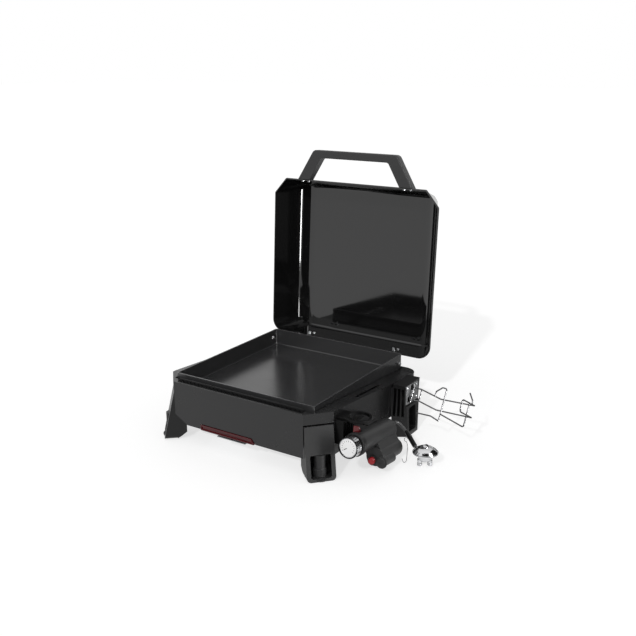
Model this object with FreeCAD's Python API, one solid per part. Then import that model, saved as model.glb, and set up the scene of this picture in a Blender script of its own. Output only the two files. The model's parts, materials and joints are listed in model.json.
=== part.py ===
import FreeCAD
import Part
import math
import os

# Outdoor gas griddle station for a tabletop: an open steel cooktop in a sheet-metal body
# on four moulded legs, a hinged lid with a trapezoid handle, a control unit and a folding
# wire rack on the right. Millimetres, +Z up, +Y towards the hinge, the ground at z = 0.
# The shapes are drawn with X and Y measured from the middle of the cooktop and are moved
# by ORIGIN_X and ORIGIN_Y when they are written.

ORIGIN_X = 91.0
ORIGIN_Y = 65.0

# Cooktop
COOK_HALF = 221.0
COOK_FRONT = -240.0
COOK_REAR = 225.0
COOK_TOP = 184.0
COOK_FLOOR = 132.0
COOK_WALL = 3.0
PLATE = 4.0

# Body shell
BODY_SHEET = 1.5
PANEL_Y = -268.5
PANEL_HALF = 209.0
BODY_BOTTOM = 53.0
BODY_TOP = 170.0
BODY_REAR_TOP = 141.0
BODY_REAR = 236.0
GAP_LOW = 136.5
GAP_HIGH = 141.5

# Front legs: a frame at each front corner, u outwards, v along the corner face
CORNER_MID = (234.5, -240.25)
CORNER_TURN = -42.1
LEG_HALF = 37.5
LEG_FLARE = 31.0
WHEEL_U = 10.0
WHEEL_R = 16.6
BOSS_R = 14.0

# Lid, drawn closed, then turned open about the hinge
HINGE_Y = 250.0
HINGE_Z = 138.0
HINGE_X = 151.0
LID_TURN = -93.0
LID_RIM = 173.3
LID_HALF = 279.0
LID_FRONT = -259.5
LID_REAR = 232.0
LID_SHEET = 1.5
LID_DEPTH = 108.0
PIN_R = 3.0

# Control unit: a frame at the knob, x right, y down, z along the barrels to the rear
KNOB = (318.0, -231.0, 98.0)
UNIT_TILT = 7.0
BARREL_R = 27.0
LOWER_R = 24.0
LOWER_X = 24.0
LOWER_Y = 43.0
UNIT_REAR = 198.0

# Wire rack: a tilted frame on the plate, x outwards, s down the tilt, w off its upper face
RACK_AT = (316.0, 113.0, 138.0)
RACK_TILT = math.atan2(0.845, 0.535)
WIRE_R = 1.9

# Gas hose
HOSE_R = 4.2

OUT = "parts"


def vec(x, y, z=0.0):
    return FreeCAD.Vector(x, y, z)


def box(x0, x1, y0, y1, z0, z1):
    return Part.makeBox(x1 - x0, y1 - y0, z1 - z0, vec(x0, y0, z0))


def rod(radius, start, end):
    a = vec(*start)
    b = vec(*end)
    return Part.makeCylinder(radius, (b - a).Length, a, b - a)


def lift(point, plane, level):
    if plane == "xy":
        return vec(point[0], point[1], level)
    if plane == "yz":
        return vec(level, point[0], point[1])
    return vec(point[0], level, point[1])


def prism(points, plane, low, high):
    corners = [lift(p, plane, low) for p in points]
    face = Part.Face(Part.makePolygon(corners + corners[:1]))
    return face.extrude(lift((0, 0), plane, high) - lift((0, 0), plane, low))


def rounded_wire(points, radii, level=0.0, closed=True):
    # A run of straight edges whose corners are tangent arcs of the given radii.
    count = len(points)
    pts = [p if isinstance(p, FreeCAD.Vector) else vec(p[0], p[1], level) for p in points]
    edges = []
    ends = []
    for i in range(count):
        if not closed and i in (0, count - 1):
            ends.append((pts[i], pts[i], None))
            continue
        here = pts[i]
        back = (pts[i - 1] - here).normalize()
        ahead = (pts[(i + 1) % count] - here).normalize()
        half = back.getAngle(ahead) / 2.0
        radius = radii[i] if isinstance(radii, (list, tuple)) else radii
        reach = radius / math.tan(half)
        middle = (back + ahead).normalize()
        crown = here + middle * (radius / math.sin(half) - radius)
        ends.append((here + back * reach, here + ahead * reach, crown))
    for i in range(count):
        first, last, crown = ends[i]
        if crown is not None:
            edges.append(Part.Arc(first, crown, last).toShape())
        if closed or i < count - 1:
            follow = ends[(i + 1) % count][0]
            if (follow - last).Length > 1e-6:
                edges.append(Part.LineSegment(last, follow).toShape())
    return Part.Wire(edges)


def slab(points, radii, low, high):
    face = Part.Face(rounded_wire(points, radii, low))
    return face.extrude(vec(0, 0, high - low))


def rounded_box(x0, x1, y0, y1, z0, z1, radius):
    return slab([(x0, y0), (x1, y0), (x1, y1), (x0, y1)], [radius] * 4, z0, z1)


def tube(points, radii, radius):
    # A round bar along straight runs joined by tangent arcs.
    pts = [vec(*p) for p in points]
    path = rounded_wire(pts, radii, closed=False)
    ring = Part.Wire([Part.Circle(pts[0], pts[1] - pts[0], radius).toShape()])
    return path.makePipeShell([ring], True, False)


def route_radii(points):
    # The largest arcs that both runs beside each point allow.
    pts = [vec(*p) for p in points]
    radii = [0.0] * len(pts)
    for i in range(1, len(pts) - 1):
        back = pts[i - 1] - pts[i]
        ahead = pts[i + 1] - pts[i]
        turn = math.pi - back.getAngle(ahead)
        radii[i] = 0.45 * min(back.Length, ahead.Length) / math.tan(turn / 2.0)
    return radii


def inset(points, depth):
    # The same outline with every side moved inwards; points run anticlockwise.
    count = len(points)
    lines = []
    for i in range(count):
        ax, ay = points[i]
        bx, by = points[(i + 1) % count]
        size = math.hypot(bx - ax, by - ay)
        nx = -(by - ay) / size
        ny = (bx - ax) / size
        lines.append((nx, ny, nx * ax + ny * ay + depth))
    result = []
    for i in range(count):
        a1, b1, c1 = lines[i - 1]
        a2, b2, c2 = lines[i]
        det = a1 * b2 - a2 * b1
        result.append(((c1 * b2 - c2 * b1) / det, (a1 * c2 - a2 * c1) / det))
    return result


def join(shapes):
    if len(shapes) == 1:
        return shapes[0]
    return shapes[0].fuse(shapes[1:]).removeSplitter()


def weld(shapes):
    # Bars joined one after another.
    whole = shapes[0]
    for shape in shapes[1:]:
        whole = whole.fuse(shape)
    return whole


def mirrored(shape):
    return shape.mirror(vec(0, 0, 0), vec(1, 0, 0))


def at_corner(shape):
    # From the right front corner's own frame to the cooktop's.
    placed = shape.copy()
    placed.rotate(vec(0, 0, 0), vec(0, 0, 1), CORNER_TURN)
    placed.translate(vec(CORNER_MID[0], CORNER_MID[1], 0))
    return placed


def in_unit(shape):
    placed = shape.copy()
    placed.rotate(vec(0, 0, 0), vec(1, 0, 0), -90.0 - UNIT_TILT)
    placed.translate(vec(*KNOB))
    return placed


def on_rack(x, s, w=0.0):
    cos_t = math.cos(RACK_TILT)
    sin_t = math.sin(RACK_TILT)
    y = RACK_AT[1] - cos_t * s - sin_t * w
    z = RACK_AT[2] - sin_t * s + cos_t * w
    return (RACK_AT[0] + x, y, z)


def opened(shape):
    placed = shape.copy()
    placed.rotate(vec(0, HINGE_Y, HINGE_Z), vec(1, 0, 0), LID_TURN)
    return placed


BODY_POINTS = [(-PANEL_HALF, PANEL_Y), (PANEL_HALF, PANEL_Y), (260.0, -212.0), (273.0, BODY_REAR),
               (-273.0, BODY_REAR), (-260.0, -212.0)]


def body_block(depth, drop, low):
    # The body's outer form moved inwards by depth, its sloping top lowered by drop.
    radii = [max(r - depth, 2.0) for r in (5.0, 5.0, 5.0, 40.0, 40.0, 5.0)]
    block = slab(inset(BODY_POINTS, depth), radii, low, BODY_TOP + 5.0)
    side = [(-280.0, low - 1.0), (-280.0, BODY_TOP - drop), (-200.0, BODY_TOP - drop),
            (200.0, BODY_REAR_TOP - drop), (260.0, BODY_REAR_TOP - drop), (260.0, low - 1.0)]
    return block.common(prism(side, "yz", -290.0, 290.0))


def leg_room(clear, low, high):
    # The space that both front legs take out of the body and its pan.
    right = at_corner(box(-36.0, 20.0, -LEG_HALF - clear, LEG_HALF + clear, low, high))
    return right.fuse(mirrored(right))


def body_shell():
    shell = body_block(0.0, 0.0, BODY_BOTTOM)
    shell = shell.cut(body_block(BODY_SHEET, BODY_SHEET, BODY_BOTTOM + BODY_SHEET))
    mouth = slab(inset(BODY_POINTS, 11.0), [4.0, 4.0, 4.0, 29.0, 29.0, 4.0], 50.0, 60.0)
    mouth = mouth.fuse(box(-206.0, 206.0, PANEL_Y + BODY_SHEET, -150.0, 50.0, 60.0))
    shell = shell.cut(mouth)
    shell = shell.cut(rounded_box(-224.5, 224.5, -246.0, 228.5, 110.0, 180.0, 6.0))
    shell = shell.cut(box(-200.0, 200.0, -262.0, -240.0, 160.0, 180.0))
    for side in (-1, 1):
        shell = shell.cut(box(side * 246.5 - 3.7, side * 246.5 + 3.7, -82.0, 42.0, 130.0, 180.0))
    shell = shell.cut(leg_room(1.8, 40.0, GAP_HIGH))
    corner = [(-216.0, 45.0), (-216.0, 84.0), (-209.0, 78.0), (-165.0, 53.0), (-158.0, 45.0)]
    shell = shell.cut(prism(corner, "xz", -275.0, -260.0))
    shell = shell.cut(prism(TRAY_NOTCH, "xz", -275.0, -255.0))
    shell = shell.cut(rod(9.0, (250.0, -110.0, 96.0), (285.0, -110.0, 96.0)))
    shell = shell.cut(rod(2.6, (250.0, -90.0, 90.0), (285.0, -90.0, 90.0)))
    return shell


TRAY_NOTCH = [(-118.5, 45.0), (-118.5, 68.0), (48.5, 68.0), (61.0, 54.5), (61.0, 45.0)]


def heat_shield():
    pan = body_block(BODY_SHEET, 0.0, 80.0).common(box(-280, 280, -280, 250, 80.0, 92.0))
    hollow = body_block(BODY_SHEET + 1.2, 0.0, 70.0).common(box(-280, 280, -280, 250, 81.2, 95.0))
    pan = pan.cut(hollow).cut(leg_room(1.5, 60.0, 100.0))
    pan = pan.cut(box(-76.0, -19.0, -240.0, -208.0, 70.0, 90.0))
    for x in range(-180, 181, 60):
        for y in (-40.0, 60.0, 160.0):
            pan = pan.cut(rounded_box(x - 18.0, x + 18.0, y - 4.0, y + 4.0, 70.0, 90.0, 3.9))
    pan = pan.cut(rod(9.0, (250.0, -110.0, 96.0), (285.0, -110.0, 96.0)))
    return pan.cut(rod(2.6, (250.0, -90.0, 90.0), (285.0, -90.0, 90.0)))


def vent_comb():
    comb = box(-198.0, 198.0, -253.2, -252.0, 148.0, 177.0)
    comb = comb.fuse(box(-198.0, 198.0, PANEL_Y + BODY_SHEET, -252.0, 148.0, 149.2))
    slots = [box(x - 3.6, x + 3.6, -256.0, -250.0, 160.0, 173.5)
             for x in [-187.2 + 12.9 * i for i in range(30)]]
    return comb.cut(Part.makeCompound(slots)).removeSplitter()


def support_bar(y):
    top = COOK_FLOOR
    bar = prism([(y - 10, top - 14), (y + 10, top - 14), (y + 10, top - 12.5), (y - 8.5, top - 12.5),
                 (y - 8.5, top - 1.5), (y + 10, top - 1.5), (y + 10, top), (y - 10, top)],
                "yz", -280.0, 280.0)
    return bar.common(body_block(BODY_SHEET, BODY_SHEET, 60.0))


def stud_places():
    front = [(x, COOK_FRONT, 159.0, 0.0, 1.0) for x in (-206.0, 206.0)]
    rear = [(s * COOK_HALF, 204.0, 160.0, -s, 0.0) for s in (-1, 1)]
    return front + rear


def cooktop():
    top = rounded_box(-COOK_HALF, COOK_HALF, COOK_FRONT, COOK_REAR, COOK_FLOOR, COOK_TOP, 5.0)
    w = COOK_WALL
    well = rounded_box(-COOK_HALF + w, COOK_HALF - w, COOK_FRONT + w, COOK_REAR - w,
                       COOK_FLOOR + PLATE, COOK_TOP + 5.0, 5.0)
    floor_edges = [e for e in well.Edges if e.BoundBox.ZMax < COOK_FLOOR + PLATE + 0.1]
    top = top.cut(well.makeFillet(4.0, floor_edges))
    top = top.cut(rounded_box(-75.0, -20.0, -231.0, -217.0, 120.0, 140.0, 6.9))
    for x, y, z, dx, dy in stud_places():
        top = top.cut(rod(3.0, (x - dx * 5, y - dy * 5, z), (x + dx * 8, y + dy * 8, z)))
    return top


def cooktop_studs():
    studs = []
    for x, y, z, dx, dy in stud_places():
        w = COOK_WALL
        shank = rod(3.0, (x - dx * 8.5, y - dy * 8.5, z), (x + dx * w, y + dy * w, z))
        head = rod(6.0, (x + dx * w, y + dy * w, z), (x + dx * (w + 2.4), y + dy * (w + 2.4), z))
        level = x * dx + y * dy + w + 2.4
        rim = [e for e in head.Edges if abs(e.CenterOfMass.dot(vec(dx, dy)) - level) < 0.1]
        head = head.makeChamfer(1.4, [rim[0]])
        nut = hexagon(5.0, 4.6)
        nut.rotate(vec(0, 0, 0), vec(-dy, dx, 0), -90.0)
        nut.translate(vec(x, y, z) - vec(dx, dy, 0) * 4.6)
        studs.append(join([shank, head, nut]))
    return Part.makeCompound(studs)


def hexagon(across_half, height):
    # A six-sided prism standing on z = 0.
    radius = across_half / math.cos(math.radians(30))
    pts = [(radius * math.cos(math.radians(60 * i)), radius * math.sin(math.radians(60 * i)))
           for i in range(6)]
    return prism(pts, "xy", 0.0, height)


def drain_chute():
    def ring(x0, x1, y0, y1, z):
        return rounded_wire([(x0, y0), (x1, y0), (x1, y1), (x0, y1)], [5.0] * 4, z)
    mouth = ring(-77.0, -18.0, -233.0, -215.0, 131.0)
    outer = Part.makeLoft([mouth, ring(-66.0, -29.0, -231.0, -217.0, 70.0)], True, True)
    bore = ring(-75.0, -20.0, -231.0, -217.0, 131.0)
    inner = Part.makeLoft([bore, ring(-64.0, -31.0, -229.5, -218.5, 70.0)], True, True)
    flange = rounded_box(-84.0, -11.0, -236.5, -211.0, 131.0, COOK_FLOOR, 4.0)
    flange = flange.cut(rounded_box(-75.0, -20.0, -231.0, -217.0, 130.0, 133.0, 6.0))
    return join([outer.cut(inner), flange])


def grease_tray():
    pan = rounded_box(-110.0, 38.0, -263.0, -80.0, 46.5, 67.0, 8.0)
    rim = rounded_box(-116.0, 45.0, -263.0, -74.0, 65.6, 67.0, 6.0)
    lip = box(-62.0, 30.0, -271.5, -254.0, 46.5, 48.0)
    well = rounded_box(-108.8, 36.8, -261.8, -81.2, 47.7, 70.0, 7.0)
    low_edges = [e for e in well.Edges if e.BoundBox.ZMax < 47.8]
    return join([pan, rim, lip]).cut(well.makeFillet(5.0, low_edges))


def tray_handle():
    face = [(-117.5, 51.5), (-117.5, 66.9), (47.6, 66.9), (57.0, 57.0), (57.0, 51.5)]
    grip = prism(face, "xz", -272.0, -263.0)
    outer = [e for e in grip.Edges if e.BoundBox.YMax < -271.9]
    grip = grip.makeFillet(2.0, outer)
    return grip.cut(box(-104.0, 40.0, -268.0, -262.0, 45.0, 62.0))


def tray_runners():
    runners = []
    for wall, lip in (((-121.0, -119.5), (-121.0, -112.0)), ((47.5, 49.0), (40.0, 49.0))):
        upright = box(wall[0], wall[1], -256.0, -60.0, 63.0, 80.0)
        shelf = box(lip[0], lip[1], -256.0, -60.0, 63.0, 64.2)
        runners.append(join([upright, shelf]))
    return Part.makeCompound(runners)


def face_u(z):
    return LEG_FLARE * (GAP_LOW - z) / (GAP_LOW - 1.0)


def front_leg():
    side = [(-4.0, GAP_LOW), (0.0, GAP_LOW), (LEG_FLARE, 1.0), (-5.0, 1.0), (-31.0, 21.0),
            (-31.0, 92.0), (-8.0, 120.0), (-4.0, 128.0)]
    leg = prism(side, "xz", -LEG_HALF, LEG_HALF)
    sight = rounded_wire([vec(60, -LEG_HALF, 1.0), vec(60, LEG_HALF, 1.0), vec(60, LEG_HALF, 150.0),
                          vec(60, -LEG_HALF, 150.0)], [11.0, 11.0, 2.0, 2.0])
    leg = leg.common(Part.Face(sight).extrude(vec(-120, 0, 0)))
    inside = [(-60.0, 8.0), (face_u(8.0) - 3.6, 8.0), (face_u(130.0) - 3.6, 130.0), (-60.0, 130.0)]
    hollow = prism(inside, "xz", -LEG_HALF + 3.5, LEG_HALF - 3.5)
    leg = leg.cut(hollow)
    web = prism([(-24.0, 66.0), (face_u(66.0) - 3.0, 66.0), (face_u(70.0) - 3.0, 70.0), (-24.0, 70.0)],
                "xz", -LEG_HALF + 3.0, LEG_HALF - 3.0)
    boss = rod(BOSS_R, (WHEEL_U, 0, 33.0), (WHEEL_U, 0, 67.0))
    wall = box(-31.0, -27.5, -LEG_HALF + 3.0, LEG_HALF - 3.0, 20.0, 92.0)
    tongue = box(-36.0, -30.0, -15.0, 15.0, 78.0, 84.0)
    slope = [(-31.0, 21.0), (-5.0, 1.0), (-5.0, 5.0), (-27.5, 22.5), (-31.0, 22.5)]
    sole = prism(slope, "xz", -LEG_HALF + 3.0, LEG_HALF - 3.0)
    leg = leg.fuse([web, boss, wall, tongue, sole])
    pocket = Part.Face(rounded_wire([vec(0, -26.5, 8.0), vec(0, 26.5, 8.0), vec(0, 26.5, 66.0),
                                     vec(0, -26.5, 66.0)], [6.0, 6.0, 3.0, 3.0])).extrude(vec(50, 0, 0))
    pocket = pocket.cut(rod(BOSS_R, (WHEEL_U, 0, 33.0), (WHEEL_U, 0, 67.0)))
    leg = leg.cut(pocket)
    leg = leg.cut(rod(4.1, (WHEEL_U, 0, -1.0), (WHEEL_U, 0, 9.0)))
    leg = leg.cut(rod(13.6, (WHEEL_U, 0, -1.0), (WHEEL_U, 0, 3.3)))
    return leg.removeSplitter()


def levelling_wheel():
    grip = rod(WHEEL_R, (WHEEL_U, 0, 10.0), (WHEEL_U, 0, 31.0))
    grip = grip.makeChamfer(1.2, [e for e in grip.Edges if e.BoundBox.ZLength < 0.01])
    hub = rod(WHEEL_R - 2.6, (WHEEL_U, 0, 8.2), (WHEEL_U, 0, 32.6))
    stud = rod(4.0, (WHEEL_U, 0, 3.2), (WHEEL_U, 0, 10.0))
    return join([grip, hub, stud])


def levelling_pad():
    return rod(13.0, (WHEEL_U, 0, 0.0), (WHEEL_U, 0, 3.2))


def rear_leg(top):
    def ring(points, z):
        return Part.makePolygon([vec(p[0], p[1], z) for p in points + points[:1]])
    low = [(281.0, 62.0), (318.0, 85.0), (318.0, 143.0), (281.0, 165.0)]
    high = [(262.0, 75.0), (310.2, 75.0), (310.2, 162.0), (262.0, 162.0)]
    leg = Part.makeLoft([ring(low, 1.0), ring(high, 150.0)], True, True)
    leg = leg.cut(body_block(0.0, 0.0, BODY_BOTTOM)).cut(box(200.0, 273.5, 0.0, 236.0, 0.0, 53.0))
    leg = leg.cut(box(200.0, 273.5, 0.0, 236.0, 139.0, 160.0))
    leg = leg.cut(box(310.2, 330.0, 60.0, 170.0, 90.0, 160.0))
    for x in (276.0, 287.5, 299.0):
        leg = leg.cut(box(x, x + 8.0, 60.0, 90.0, 60.0, 140.0))
    pocket = Part.Face(rounded_wire([vec(296, 92.0, 13.0), vec(296, 133.0, 13.0), vec(296, 133.0, 82.0),
                                     vec(296, 92.0, 82.0)], [6.0] * 4)).extrude(vec(40, 0, 0))
    leg = leg.cut(pocket)
    leg = leg.cut(box(289.0, 312.0, 90.0, 140.0, -1.0, 3.2))
    return leg.cut(box(200.0, 330.0, 50.0, 170.0, top, 160.0))


def rear_pad():
    return box(289.0, 312.0, 90.0, 140.0, 0.0, 3.2)


LID_POINTS = [(-238.0, LID_FRONT), (238.0, LID_FRONT), (LID_HALF, -212.5), (LID_HALF, LID_REAR),
              (-LID_HALF, LID_REAR), (-LID_HALF, -212.5)]

# Each wall of the pressed lid: its outward direction, its distance at the rim, how much it
# leans in over its height, and the radius that bends it into the crown.
LID_SIDES = [((0.0, -1.0), 257.5, 0.22, 14.0), ((0.7536, -0.6574), 348.0, 0.30, 16.0),
             ((1.0, 0.0), 277.0, 0.466, 50.0), ((0.0, 1.0), 230.0, 0.02, 9.0),
             ((-1.0, 0.0), 277.0, 0.466, 50.0), ((-0.7536, -0.6574), 348.0, 0.30, 16.0)]


def wall_corners(height, sheet):
    # Where neighbouring walls, or their inner faces one sheet in, meet at a height.
    lines = []
    for (nx, ny), distance, taper, bend in LID_SIDES:
        lines.append((nx, ny, distance - taper * height - sheet / math.cos(math.atan(taper))))
    corners = []
    for i in range(len(lines)):
        a1, b1, c1 = lines[i - 1]
        a2, b2, c2 = lines[i]
        det = a1 * b2 - a2 * b1
        corners.append(vec((c1 * b2 - c2 * b1) / det, (a1 * c2 - a2 * c1) / det, LID_RIM + height))
    return corners


def lid_walls(sheet):
    low = wall_corners(-2.0 if sheet else 0.0, sheet)
    high = wall_corners(LID_DEPTH - sheet, sheet)
    outlines = [Part.makePolygon(low + low[:1]), Part.makePolygon(high + high[:1])]
    block = Part.makeLoft(outlines, True, True)
    rear = [e for e in block.Edges if e.BoundBox.ZLength > 50.0 and e.BoundBox.YMin > 100.0]
    block = block.makeFillet(37.0 - sheet, rear)
    front = [e for e in block.Edges if e.BoundBox.ZLength > 50.0 and e.BoundBox.YMax < -100.0]
    return block.makeFillet(10.0 - sheet, front)


def lid_section(sheet, first, last, plane):
    # The closed section across the lid: a wall, its bend, the crown, the other bend and wall.
    clear = 0.02
    low = -4.0
    top = LID_DEPTH - sheet
    reach = []
    for which in (first, last):
        normal, distance, taper, bend = LID_SIDES[which]
        rim = distance - sheet / math.cos(math.atan(taper)) + clear
        reach.append((rim - taper * low, rim - taper * top, bend - sheet))
    points = [(-reach[0][0], low), (reach[1][0], low), (reach[1][1], top), (-reach[0][1], top)]
    points = [lift((x, LID_RIM + z), plane, -300.0) for x, z in points]
    outline = rounded_wire(points, [0.0001, 0.0001, reach[1][2], reach[0][2]])
    return Part.Face(outline).extrude(lift((0, 0), plane, 300.0) - lift((0, 0), plane, -300.0))


def lid_form(sheet):
    # The lid's outer solid, or what it encloses one sheet in.
    across = lid_section(sheet, 4, 2, "xz")
    along = lid_section(sheet, 0, 3, "yz")
    return lid_walls(sheet).common(across).common(along)


def lid_bead():
    bead = slab(LID_POINTS, [8.0, 8.0, 8.0, 39.0, 39.0, 8.0], LID_RIM, LID_RIM + 6.0)
    outer = [e for e in bead.Edges if e.BoundBox.ZLength < 0.01]
    return bead.makeChamfer(1.9, outer)


def leaf_bolt_places():
    places = ((-8.0, 211.0), (8.0, 211.0), (0.0, 196.0))
    return [(side * HINGE_X + dx, z) for side in (-1, 1) for dx, z in places]


def handle_screw_places():
    return [(side * x, 188.0) for side in (-1, 1) for x in (162.0, 184.0)]


def lid_shell():
    lid = lid_form(0.0).fuse(lid_bead()).cut(lid_form(LID_SHEET))
    for x, z in leaf_bolt_places():
        lid = lid.cut(rod(2.5, (x, 220.0, z), (x, 240.0, z)))
    for x, z in handle_screw_places():
        lid = lid.cut(rod(2.0, (x, -265.0, z), (x, -246.0, z)))
    return lid


def lid_handle():
    outer = [(-199.0, -252.0), (-141.0, -349.0), (141.0, -349.0), (199.0, -252.0)]
    inner = [(-158.0, -250.0), (-113.0, -326.0), (113.0, -326.0), (158.0, -250.0)]
    low = LID_RIM + 0.4
    high = LID_RIM + 25.4
    grip = slab(outer, [2.0, 16.0, 16.0, 2.0], low, high)
    level = [e for e in grip.Edges if e.BoundBox.ZLength < 0.01 and e.BoundBox.YMin < -258.0]
    grip = grip.makeFillet(4.5, level)
    hole = slab(inner, [2.0, 10.0, 10.0, 2.0], low - 1.0, high + 1.0)
    grip = grip.cut(hole)
    notches = [box(x - 1.7, x + 1.7, -328.4, -320.0, low - 1.0, high + 1.0)
               for x in [-99.0 + 6.6 * i for i in range(31)]]
    grip = grip.cut(Part.makeCompound(notches))
    grip = grip.cut(box(-290.0, 290.0, -259.8, -240.0, low - 5.0, LID_RIM + 6.3))
    grip = grip.cut(lid_form(0.0))
    grip = grip.cut(box(-290.0, 290.0, -248.0, -200.0, low - 5.0, high + 5.0))
    for x, z in handle_screw_places():
        grip = grip.cut(rod(2.0, (x, -272.0, z), (x, -250.0, z)))
    return grip.Solids[0] if len(grip.Solids) == 1 else grip


def handle_screws():
    screws = []
    for x, z in handle_screw_places():
        head = rod(4.2, (x, -253.2, z), (x, -250.2, z))
        rim = [e for e in head.Edges if e.BoundBox.YMin > -250.3]
        shank = rod(2.0, (x, -271.0, z), (x, -253.0, z))
        screws.append(join([head.makeChamfer(1.2, [rim[0]]), shank]))
    return Part.makeCompound(screws).cut(lid_skin_slice("front"))


def lid_skin_slice(which):
    # A piece of the lid's bored wall that trims the heads beside it flush.
    if which == "front":
        zone = box(-220.0, 220.0, -262.0, -246.0, 180.0, 200.0)
    else:
        zone = box(-220.0, 220.0, 225.0, 234.0, 185.0, 225.0)
    return lid_shell().common(zone)


def hinge_leaf(side):
    x = side * HINGE_X
    side_view = [(225.0, 221.0), (233.4, 221.0), (233.4, 186.0), (238.0, 176.0), (256.4, 140.0),
                 (244.0, 136.0), (233.0, 170.0), (233.0, 180.0), (225.0, 184.0)]
    leaf = prism(side_view, "yz", x - 12.4, x + 12.4)
    leaf = leaf.fuse(rod(6.6, (x - 12.4, HINGE_Y, HINGE_Z), (x + 12.4, HINGE_Y, HINGE_Z)))
    leaf = leaf.cut(lid_form(0.0)).cut(box(x - 20, x + 20, 200.0, LID_REAR + 0.3, 165.0, 180.0))
    leaf = leaf.cut(rod(PIN_R + 0.06, (x - 20, HINGE_Y, HINGE_Z), (x + 20, HINGE_Y, HINGE_Z)))
    for px, pz in leaf_bolt_places():
        if abs(px - x) < 12.0:
            leaf = leaf.cut(rod(2.5, (px, 220.0, pz), (px, 240.0, pz)))
    return leaf


def hinge_bolts():
    bolts = []
    for x, z in leaf_bolt_places():
        head = rod(4.6, (x, 225.0, z), (x, 228.6, z))
        rim = [e for e in head.Edges if e.BoundBox.YMax < 225.1]
        head = head.makeChamfer(1.2, [rim[0]])
        shank = rod(2.5, (x, 226.5, z), (x, 236.6, z))
        nut = hexagon(4.0, 3.2)
        nut.rotate(vec(0, 0, 0), vec(1, 0, 0), -90.0)
        nut.translate(vec(x, 233.4, z))
        bolts.append(join([head, shank, nut]))
    return Part.makeCompound(bolts).cut(lid_skin_slice("rear"))


def hinge_bracket(side):
    x = side * HINGE_X
    plate = box(x - 24.0, x + 24.0, BODY_REAR, BODY_REAR + 2.2, 98.0, 139.0)
    parts = [plate]
    for offset in (-17.0, 12.7):
        side_view = [(BODY_REAR, 104.0), (HINGE_Y + 2.0, 128.0), (HINGE_Y + 6.0, HINGE_Z),
                     (HINGE_Y, HINGE_Z + 7.0), (BODY_REAR, 139.0)]
        ear = prism(side_view, "yz", x + offset, x + offset + 4.3)
        knuckle = rod(8.0, (x + offset, HINGE_Y, HINGE_Z), (x + offset + 4.3, HINGE_Y, HINGE_Z))
        parts.append(ear.fuse(knuckle).cut(box(x - 30, x + 30, 200, BODY_REAR, 90, 160)))
    bracket = join(parts)
    bracket = bracket.cut(rod(PIN_R, (x - 20, HINGE_Y, HINGE_Z), (x + 20, HINGE_Y, HINGE_Z)))
    heads = [rod(3.6, (x + dx, BODY_REAR + 2.2, z), (x + dx, BODY_REAR + 4.4, z))
             for dx, z in ((-20.4, 106.0), (20.4, 106.0), (0.0, 112.0))]
    return bracket.fuse(heads)


def hinge_pin(side):
    x = side * HINGE_X
    pin = rod(PIN_R, (x - 19.5, HINGE_Y, HINGE_Z), (x + 19.5, HINGE_Y, HINGE_Z))
    heads = [rod(5.2, (x + a, HINGE_Y, HINGE_Z), (x + a + 2.5, HINGE_Y, HINGE_Z)) for a in (-19.5, 17.0)]
    return join([pin] + heads)


BURNER_ROUTE = [(252.0, -110.0, 96.0), (-190.0, -110.0, 96.0), (-190.0, 100.0, 96.0),
                (150.0, 100.0, 96.0)]


def burner():
    body = tube(BURNER_ROUTE, [0, 50.0, 50.0, 0], 12.0)
    inside = [(253.0, -110.0, 96.0)] + BURNER_ROUTE[1:3] + [(148.0, 100.0, 96.0)]
    pipe = body.cut(tube(inside, [0, 50.0, 50.0, 0], 10.6))
    places = [(x, y) for x in range(-130, 131, 26) for y in (-110.0, 100.0)]
    places += [(-190.0, y) for y in (-40.0, -10.0, 20.0, 50.0)]
    ports = [box(x - 1.2, x + 1.2, y - 1.2, y + 1.2, 96.0, 110.0) for x, y in places]
    pipe = pipe.cut(Part.makeCompound(ports))
    for turn in (45.0, 135.0):
        slot = box(205.0, 225.0, -113.0, -107.0, 96.0, 115.0)
        slot.rotate(vec(0, -110.0, 96.0), vec(1, 0, 0), turn)
        pipe = pipe.cut(slot)
    return pipe


def burner_brackets():
    brackets = []
    for x, y in ((-80.0, -110.0), (120.0, 100.0), (-190.0, 0.0)):
        if x < -100.0:
            strap = box(x - 16.0, x + 16.0, y - 8.0, y + 8.0, 81.2, 96.0)
            strap = strap.cut(box(x - 14.5, x + 14.5, y - 9.0, y + 9.0, 82.7, 97.0))
            strap = strap.fuse(box(x - 13.4, x + 13.4, y - 8.0, y + 8.0, 81.2, 90.0))
            strap = strap.cut(rod(12.0, (x, y - 9.0, 96.0), (x, y + 9.0, 96.0)))
        else:
            strap = box(x - 8.0, x + 8.0, y - 16.0, y + 16.0, 81.2, 96.0)
            strap = strap.cut(box(x - 9.0, x + 9.0, y - 14.5, y + 14.5, 82.7, 97.0))
            strap = strap.fuse(box(x - 8.0, x + 8.0, y - 13.4, y + 13.4, 81.2, 90.0))
            strap = strap.cut(rod(12.0, (x - 9.0, y, 96.0), (x + 9.0, y, 96.0)))
        brackets.append(strap.removeSplitter())
    return Part.makeCompound(brackets)


def gas_outlet():
    pipe = rod(6.0, (240.0, -110.0, 96.0), (305.0, -110.0, 96.0))
    tip = Part.makeCone(6.0, 3.0, 6.0, vec(240.0, -110.0, 96.0), vec(-1, 0, 0))
    nut = hexagon(8.0, 8.0)
    nut.rotate(vec(0, 0, 0), vec(0, 1, 0), 90.0)
    nut.translate(vec(253.0, -110.0, 96.0))
    outlet = join([pipe, tip, nut])
    return outlet.cut(in_unit(rod(BARREL_R, (0, 0, 30.0), (0, 0, 222.0))))


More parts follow.
